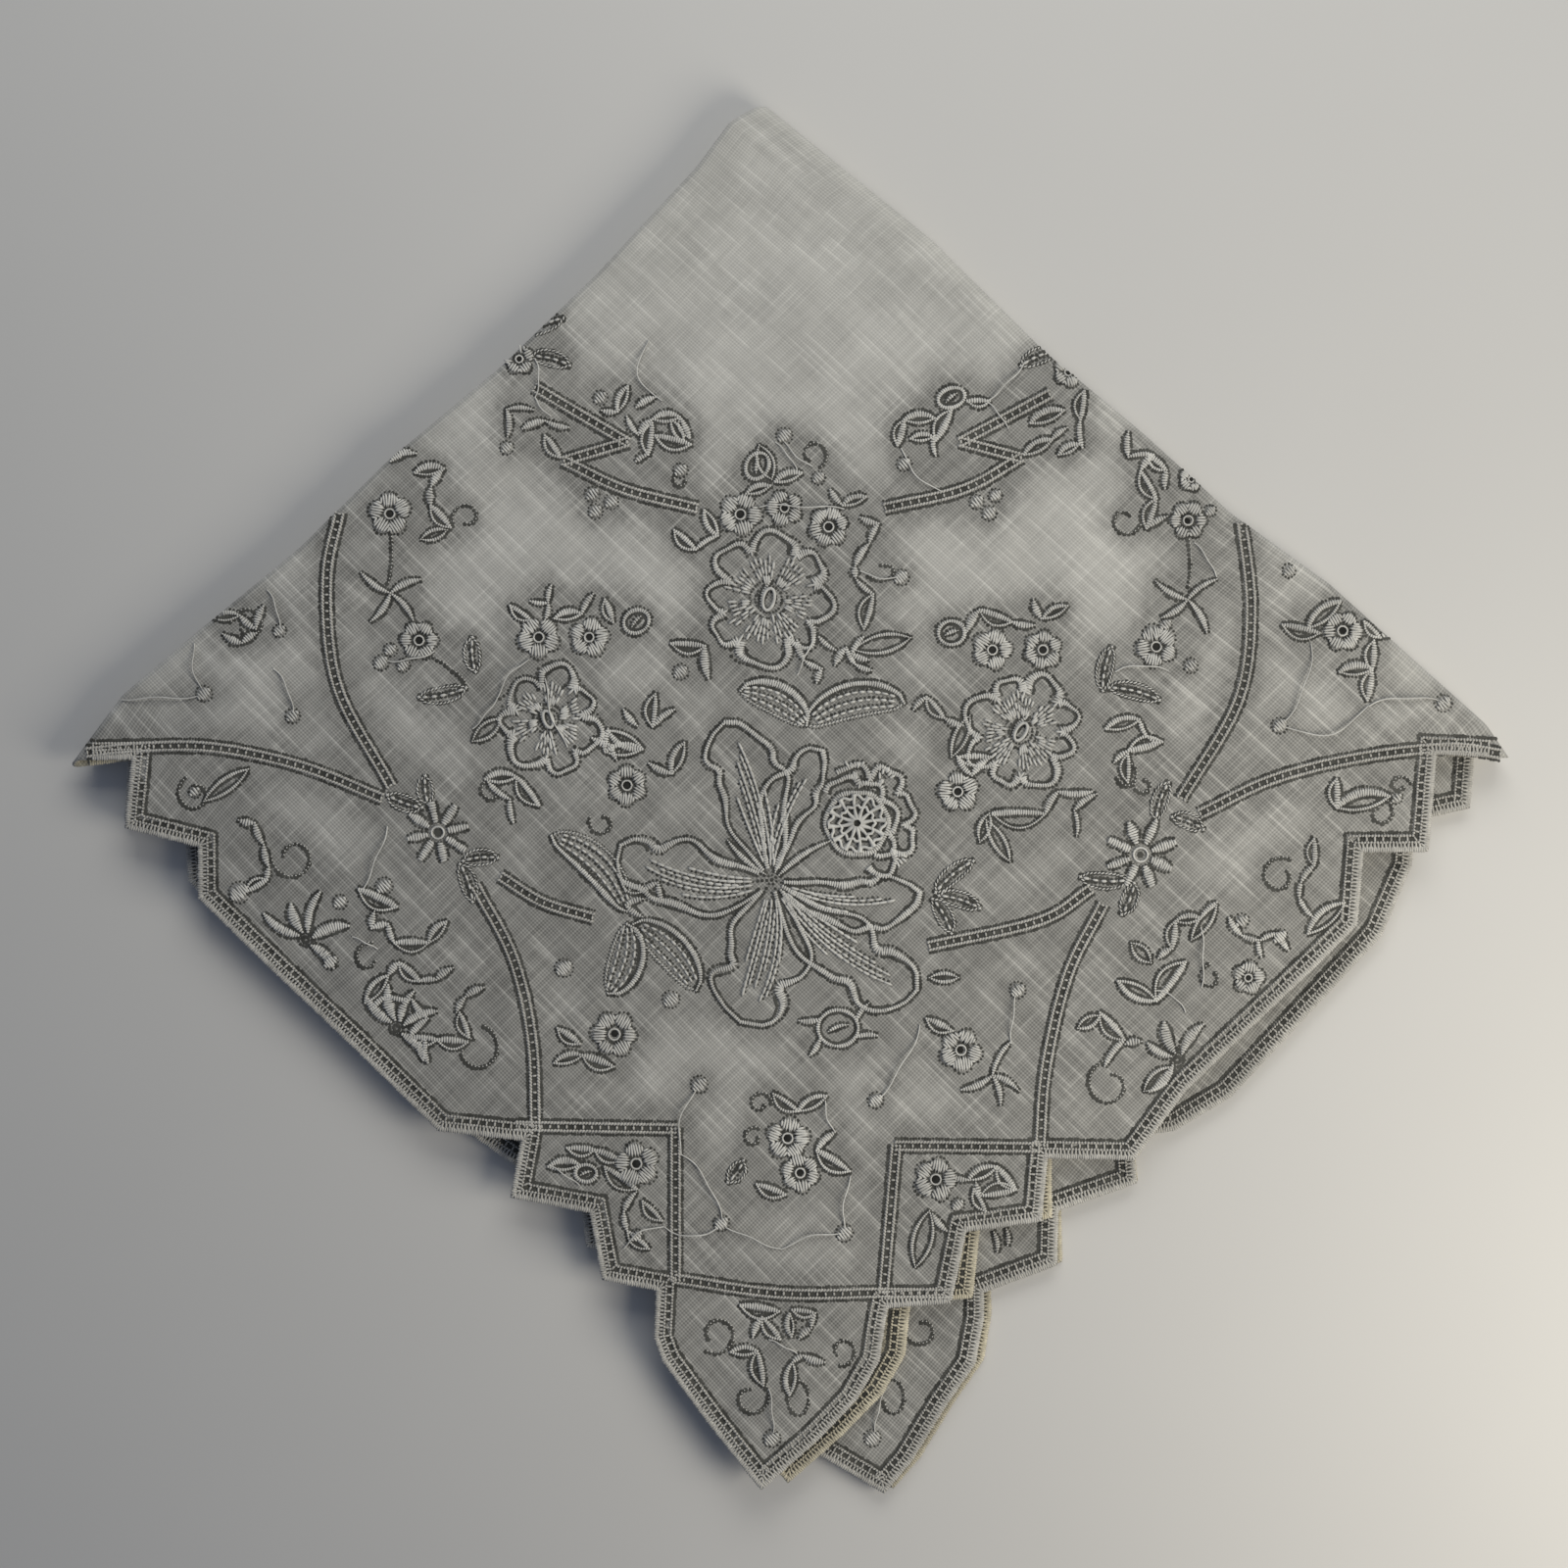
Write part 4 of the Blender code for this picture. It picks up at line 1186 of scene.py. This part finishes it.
# Sprigs of satin leaves joined end to end: x, y, size, then turn and length of each leaf in turn
for x, y, size, leaves in (
        (-60, 52, 4.6, ((8, 1), (-125, 0.75), (-92, 0.65), (-48, 1.0))),
        (-66, 55.5, 3.8, ((15, 1), (-120, 0.8), (30, 0.9))), (-43, 59, 4.2, ((20, 0.9), (-15, 0.9))),
        (-39.5, 58, 3.8, ((-55, 1.1),)), (-30.5, 62, 3.6, ((-5, 0.7), (68, 1.2))),
        (-26.5, 61, 3.6, ((-58, 0.95), (48, 0.95), (4, 1.2), (-65, 1.0))),
        (-25, 62.5, 3.6, ((28, 0.95),)), (-22, 58, 3.4, ((-14, 1.7),)),
        (-22.5, 60, 3.6, ((-98, 1.4), (-150, 0.6))), (-45, 31, 4.0, ((-35, 1.0),)),
        (-38, 29, 4.0, ((10, 1.1), (60, 0.9))), (-30, 32, 3.8, ((-70, 1.0),)),
        (10.5, 45, 4.4, ((-18, 0.7), (-115, 0.8), (-122, 0.95), (-88, 0.45), (-42, 0.85), (-105, 1.3))),
        (4, 26, 3.3, ((-38, 1.0),)), (11, 26.0, 3.2, ((-125, 1.0), (-20, 0.9))),
        (-19, 43, 4.6, ((-42, 1.0), (32, 0.9), (118, 1.0))), (-7.6, 48.8, 4.0, ((18, 1.0),)),
        (-3, 50.7, 4.4, ((18, 1.0),)), (5.8, 49.4, 3.9, ((-52, 0.8), (20, 1.0))),
        (-19.5, 25, 5.4, ((-4, 1.0), (-84, 0.95))), (-27, 14.5, 3.3, ((-50, 1.0),)),
        (-22, 17, 5.2, ((-95, 1.0), (38, 0.85))), (-29.5, 11.5, 4.6, ((-98, 0.8), (4, 1.3), (152, 1.35))),
        (-23, 6, 4.4, ((-24, 0.9), (68, 1.2))), (-49, 3.5, 5.0, ((4, 1.0), (-52, 1.15))),
        (-48.5, 3.0, 4.6, ((-38, 0.95), (-82, 0.8))),
        (27.5, 27, 4.8, ((60, 0.8), (-20, 1.15), (-8, 0.75))), (38, 32, 3.4, ((-68, 0.95),)),
        (39.5, 29, 4.4, ((27, 1.0),)), (19, 14.5, 3.6, ((45, 0.8), (-50, 1.2), (-22, 0.9))),
        (26, 7, 5.2, ((0, 1.0), (-135, 0.8), (128, 0.75))),
        (31.5, -2, 5.6, ((0, 1.5), (60, 0.72), (0, 0.95))),
        (49.5, 11.5, 5.0, ((15, 1.1), (-64, 0.65), (-14, 0.45), (-165, 1.1), (-140, 0.6))),
        (53, 7.5, 4.5, ((-90, 1.0),)),
        (53, 58.5, 4.4, ((-90, 0.9), (5, 0.9), (-128, 0.75), (-60, 1.15), (-108, 1.1), (30, 0.85))),
        (56, 55, 3.6, ((-40, 1.1), (-95, 0.8))), (77.5, 28, 6.0, ((-13, 1.0),)),
        (81.5, 27.5, 6.6, ((39, 1.0),)), (90.5, 28.5, 3.6, ((-45, 1.0), (20, 0.7))),
        (92, 25.5, 4.8, ((-94, 1.0), (-100, 1.0))), (86.5, 20.5, 5.2, ((5, 1.0),)),
        (-88, -3, 3.9, ((-10, 0.65), (-68, 0.95), (-76, 0.95), (-100, 0.5), (-150, 1.0))),
        (-69, -14, 6.6, ((-25, 1.0),)),
        (-66.5, -17.5, 3.9, ((-100, 0.7), (15, 0.7), (-72, 0.8), (0, 1.4), (50, 1.1))),
        (-68, -32, 4.4, ((50, 1.3), (50, 0.6), (-42, 1.0), (5, 0.6), (35, 0.75))),
        (-67, -33, 4.4, ((40, 0.75), (-8, 0.9), (-50, 0.9), (-135, 0.95), (-5, 1.0), (-5, 1.1))),
        (-58.5, -37.5, 3.6, ((-95, 1.0),)), (-53.5, -33.5, 3.4, ((60, 0.85), (27, 0.95))),
        (-53, -33.5, 4.2, ((-70, 1.0),)), (-37.5, -36, 4.3, ((-35, 1.0),)),
        (-38, -41.5, 4.6, ((15, 1.0), (-20, 1.15))), (-36, -55, 4.4, ((-4, 1.0), (-22, 1.0))),
        (-39, -58, 5.0, ((4, 1.0),)), (-30, -58, 5.6, ((-35, 1.1),)),
        (-25, -62, 4.0, ((-123, 0.9), (-80, 0.8), (-40, 1.1))), (-24, -63.5, 4.3, ((-45, 1.0),)),
        (25, -59.5, 4.5, ((-12, 0.6), (25, 1.1), (-50, 1.05), (-170, 1.25), (110, 0.5))),
        (28.5, -61.5, 4.0, ((-62, 1.0),)), (22, -65.5, 3.4, ((-50, 1.0),)),
        (21, -34.5, 4.6, ((-25, 1.0),)), (6.5, -52.5, 4.6, ((-135, 0.9), (-32, 1.35))),
        (-3.3, -46.4, 4.4, ((-35, 1.1), (28, 1.15))), (-5.9, -60.8, 4.8, ((-20, 1.0),)),
        (86, 3.5, 4.5, ((-90, 1.0), (12, 1.9))),
        (82.5, -6, 4.2, ((-90, 1.0), (-128, 0.8), (-97, 0.6), (-55, 0.85))),
        (81.5, -21, 7.6, ((40, 1.0),)), (60.5, -19, 4.4, ((-97, 1.0), (-145, 0.6))),
        (60.5, -19, 4.0, ((6, 1.0), (45, 0.9))), (62, -25.5, 4.5, ((-127, 1.7), (153, 1.5))),
        (48.5, -33.5, 5.8, ((-48, 1.0), (-127, 0.9))), (52.5, -38.5, 2.6, ((10, 1.0),)),
        (69, -18.5, 3.4, ((-55, 1.0), (-15, 0.8), (-80, 0.8))), (74, -22, 3.4, ((20, 0.9), (-60, 0.9))),
        (-8.5, -80, 6.2, ((-8, 1.0),)), (-6.5, -85, 3.9, ((66, 0.9), (-50, 1.15))),
        (-0.3, -80.6, 3.7, ((-8, 1.0), (-105, 0.65), (-138, 0.7))), (-0.4, -84.8, 3.6, ((95, 1.0),)),
        (-10, -87.4, 4.2, ((3, 1.0), (-80, 1.3))), (-0.7, -94, 4.0, ((85, 1.3), (32, 0.5), (-18, 0.9))),
        (25, 62, 5.4, ((-118, 1.0),)), (27.5, 63.5, 3.6, ((0, 1.0),)), (17.5, 60.5, 4.6, ((3, 1.05),)),
        (17.5, 60.5, 4.2, ((-105, 1.0),)), (18.5, 57.5, 3.6, ((5, 1.0), (-82, 0.85))),
        (37.5, 60, 5.6, ((20, 1.0),)), (36.5, 55, 5.0, ((28, 1.0), (38, 0.6))),
        (46, 65, 4.6, ((-98, 1.0), (-85, 0.95))), (42, 55, 3.6, ((27, 1.0),)),
        (-92, 29, 4.2, ((6, 1.0), (-40, 0.8), (72, 0.9))), (-90.5, 26.5, 3.4, ((-25, 1.0), (35, 0.8))),
        (-27.5, -12.5, 4.0, ((-28, 1.0), (32, 0.7), (-75, 0.8))),
        (-24, -15.5, 3.2, ((-160, 0.9), (-35, 1.0))),
        (0.5, 25.5, 3.4, ((-70, 1.0), (-25, 0.9), (-110, 0.7))),
        (6.5, 21.5, 3.4, ((58, 1.0), (-62, 0.9), (-20, 0.8))), (-32, 10, 3.2, ((-20, 1.0), (-70, 0.8)))):
    for turn, share in leaves:
        length = size * share
        sew = open_leaf if share > 0.97 and length > 3.4 else leaf
        sew(x, y, turn, length, 1.0 + 0.06 * length, 0.07 if turn > 0 else -0.07)
        x, y = reach_from(x, y, turn, length)

# Boat-shaped leaves in outline: x, y, turn, length, width
for row in (
        (9.5, 24, 12, 9.2, 2.8), (-51, 9.5, 38, 5.8, 2.2), (25, 7, 66, 7.2, 2.0),
        (29.5, -6.5, 72, 4.8, 1.8), (30.5, -3, -60, 7.6, 1.9), (-93.5, 0, 36, 8.6, 2.0),
        (21.5, -65, -104, 9.2, 3.0), (21.5, -28, 0, 4.6, 1.4), (53.5, -22.5, -45, 4.4, 2.0),
        (67, -16.5, -126, 6.8, 1.8), (55.5, -46, 40, 6.0, 2.4), (-5.5, 56.5, -70, 5.8, 2.6),
        (-55, 43, 200, 4.4, 1.5), (45, -36, 30, 4.0, 1.6), (-19.5, 60.5, -60, 4.0, 1.3)):
    boat(*row)

# Buds: a satin ring with a leaf in it: x, y, radius, squeeze, turn
for x, y, radius, squeeze, turn in (
        (-25, 28.5, 2.1, 0.85, 30), (25, 26.7, 2.1, 0.9, 0), (25, 64, 2.2, 0.7, 20),
        (7, -36, 3.2, 0.9, 0), (-33, -59, 1.7, 0.8, 0), (-5.8, 53.2, 2.2, 0.8, 60)):
    satin(ring_about(x, y, radius, turn=turn, squeeze=squeeze, step=0.5), 0.7, closed=True)
    leaf(*reach_from(x, y, turn + 200, 0.5 * radius), turn + 20, radius, 0.7)
for turn in (20, 150, 205, 330):
    leaf(*reach_from(7, -36, turn, 3.0), turn + 35, 3.6, 1.0)

# Threads left lying on the cloth: start, end, bend
for start, end, bend in (
        ((-42, 22.5), (-47, 16.5), -0.1), ((-47, 16.5), (-51, 11.5), 0.05),
        ((-15, -45), (-18, -56), -0.12), ((-18, -56), (-11.5, -67), 0.12),
        ((-11.5, -67), (-20.5, -67.5), 0.2), ((-20.5, -67.5), (-27, -71), -0.15),
        ((9, -59.5), (8, -68.5), -0.06), ((8, -68.5), (-2, -71), -0.08), ((-2, -71), (-11.5, -67), 0.03),
        ((20, -35.5), (13, -47.5), 0.06), ((34.5, -38.5), (35.5, -30), 0.04),
        ((-83.5, 33.5), (-81.5, 27), 0.1), ((-82.5, 21), (-79.5, 13.5), 0.12),
        ((-95, 25), (-93.5, 17), -0.1), ((-93.5, 17), (-108, 16.5), 0.04), ((82, 25), (77.5, 12.5), 0.1),
        ((77, 12), (91, 15), -0.2), ((91, 15), (103, 15.5), 0.1), ((51, 20.5), (59.5, 20.5), 0.12),
        ((63.5, 41), (67, 35.5), 0.05), ((-3, 57), (0.5, 52.5), 0.05), ((-1.5, 57), (3, 53), -0.08),
        ((-4, -93), (-3.3, -100), 0.04), ((-64.5, -4), (-68.5, -14), 0.04),
        ((64.5, -20), (64.5, -29.5), 0.04), ((-41, 70), (-41, 64), 0.12), ((-41, 64), (-38.5, 61), -0.1),
        ((-23, 73), (-21, 63.5), -0.28), ((36.5, 69.5), (30.5, 63.5), 0.06),
        ((30.5, 63.5), (34, 59), 0.05), ((17, 56), (23.5, 49), -0.12), ((-5.5, 46.6), (8, 46.2), 0.03),
        ((5, -47.5), (6.5, -52.5), -0.1), ((-4, -85.3), (0.5, -87.5), 0.05),
        ((-39.5, 19.5), (-36, 8.5), -0.06), ((10.5, 36.5), (17, 35.5), -0.1),
        ((57.5, -30), (62, -33.5), 0.15), ((-38.8, -57.8), (-34, -61), 0.04), ((3, 25.5), (0.5, 20), 0.0),
        ((-57, 23.8), (-64.5, 22.3), 0.08), ((-70, -21.5), (-66, -23.5), 0.04)):
    loose(start, end, bend)

# The part of the third layer's tab that shows has its own curl, dot and thread
scroll(20.4, -84.8, 2.9, 150, 300, layer=3)
scroll(15.5, -96.0, 2.6, 90, -260, squeeze=1.3, layer=3)
knot(12.6, -102.0, 1.2, layer=3)
loose((13.0, -101.0), (14.5, -94.5), 0.05, layer=3)
for x, y, turn, length in ((32.0, -69.0, -80, 3.2), (34.0, -68.5, -85, 2.6), (66.0, -40.0, 40, 3.0)):
    leaf(x, y, turn, length, 0.9, layer=3)

for layer in LAYERS:
    work_hem(layer)

linen = make_linen()
STITCHES = stitch_tree()
STRAND = strand_tree()
PIT = pit_tree()
# The pieces in shaded openwork and eyelet shade are painted shade: of needle holes, eyelets and drawn-thread
# gaps, and of the threads' shadow beside them
pieces = [
    worked_piece("needle_hole_shade", "pits", PIT, OPENWORK, Height=0.00005),
    worked_piece("eyelet_hole_shade", "eyelets", PIT, EYELET_SHADE, Height=0.00008),
    worked_piece("satin_stitch", "satin", STITCHES, WHITE_THREAD, Pitch=0.00038,
                 Thickness=0.00022, Seed=11, Scatter=0.08),
    worked_piece("stem_stitch", "stem", STITCHES, WHITE_THREAD, Pitch=0.0006,
                 Thickness=0.00014, Slant=2.0, Seed=12),
    worked_piece("running_stitch", "running", STITCHES, WHITE_THREAD, Pitch=0.0012,
                 Thickness=0.00025, Slant=40.0, Seed=13),
    worked_piece("laid_threads", "strand", STRAND, WHITE_THREAD, Step=0.0005, Flatness=1.0),
    worked_piece("shade_under_drawn_threads", "shade under drawn threads", STRAND, OPENWORK, Step=0.0012, Flatness=0.04),
    worked_piece("hem_hole_shade", "hem pits", PIT, OPENWORK, Height=0.00005),
]
for side, finish, seed in (("white", LINEN_THREAD, 3), ("cream", CREAM_THREAD, 23)):
    pieces += [
        worked_piece(side + "_hem_fringe", side + " fringe", STITCHES, finish, Pitch=0.00036,
                     Thickness=0.00027, Seed=seed, Scatter=0.16),
        worked_piece(side + "_whip_stitches", side + " whip", STITCHES, finish, Pitch=0.0006,
                     Thickness=0.00022, Seed=seed + 1, Scatter=0.12),
        worked_piece(side + "_hem_cords", side + " cord", STITCHES, finish, Pitch=0.0005,
                     Thickness=0.00024, Slant=1.6, Seed=seed + 2, Scatter=0.12),
        worked_piece(side + "_hem_rungs", side + " rung", STITCHES, finish, Pitch=0.0013,
                     Thickness=0.0002, Seed=seed + 3, Scatter=0.12),
    ]


def pale_table():
    """A plain pale laminate table top, almost matt."""
    material, tree, shader = new_material("pale_laminate", "#cbcac7", 0.6)
    at = add_node(tree, "ShaderNodeTexCoord").outputs["Object"]
    uneven = add_node(tree, "ShaderNodeTexNoise", at, Scale=14.0, Detail=3.0)
    mottled(tree, shader, uneven, 0.0, 1.0, linear("#c8c7c4"), linear("#cdccc9"))
    return material


TABLE_HALF = 1.6
TABLE_GAP = 0.0001


def make_table():
    """The flat surface that the cloth lies on, a hair below it."""
    corners = [(x * TABLE_HALF, y * TABLE_HALF, -TABLE_GAP) for x, y in ((-1, -1), (1, -1), (1, 1), (-1, 1))]
    mesh = bpy.data.meshes.new("table_top")
    mesh.from_pydata(corners, [], [(0, 1, 2, 3)])
    mesh.materials.append(pale_table())
    table = put_in_scene("table_top", mesh)


def add_area_light(name, place, aim, size, power, colour):
    """A soft area light that looks at a point."""
    light = bpy.data.lights.new(name, "AREA")
    light.shape = "RECTANGLE"
    light.size, light.size_y = size
    light.energy = power
    light.color = linear(colour)[:3]
    lamp = put_in_scene(name, light)
    lamp.location = place
    lamp.rotation_euler = (Vector(aim) - Vector(place)).to_track_quat("-Z", "Y").to_euler()


make_table()
add_area_light("window_light", (0.245, -0.115, 0.20), (0.05, 0.0, 0.0), (0.18, 0.18), 0.73, "#fff8e9")
add_area_light("room_light", (0.05, 0.34, 0.28), (0.02, 0.03, 0.0), (0.38, 0.24), 0.96, "#fffdf6")
world = bpy.data.worlds.new("room")
world.use_nodes = True
background = world.node_tree.nodes["Background"]
background.inputs["Color"].default_value = linear("#ccdaf7")
background.inputs["Strength"].default_value = 0.205
bpy.context.scene.world = world
bpy.context.scene.view_settings.view_transform = "Standard"

# The camera looks straight down; 36 mm of film behind 50 mm sees 249 mm at the stack's top
FILM, LENS = 36.0, 50.0
SEEN = 249.1
STACK_TOP = 4.8
VIEW_MIDDLE = np.array((-1.56, 2.72, 0.0))
camera_data = bpy.data.cameras.new("camera")
camera_data.sensor_width = FILM
camera_data.lens = LENS
camera = put_in_scene("camera", camera_data)
camera.location = tuple(in_place(VIEW_MIDDLE + np.array((0.0, 0.0, SEEN * LENS / FILM + STACK_TOP))))
bpy.context.scene.camera = camera
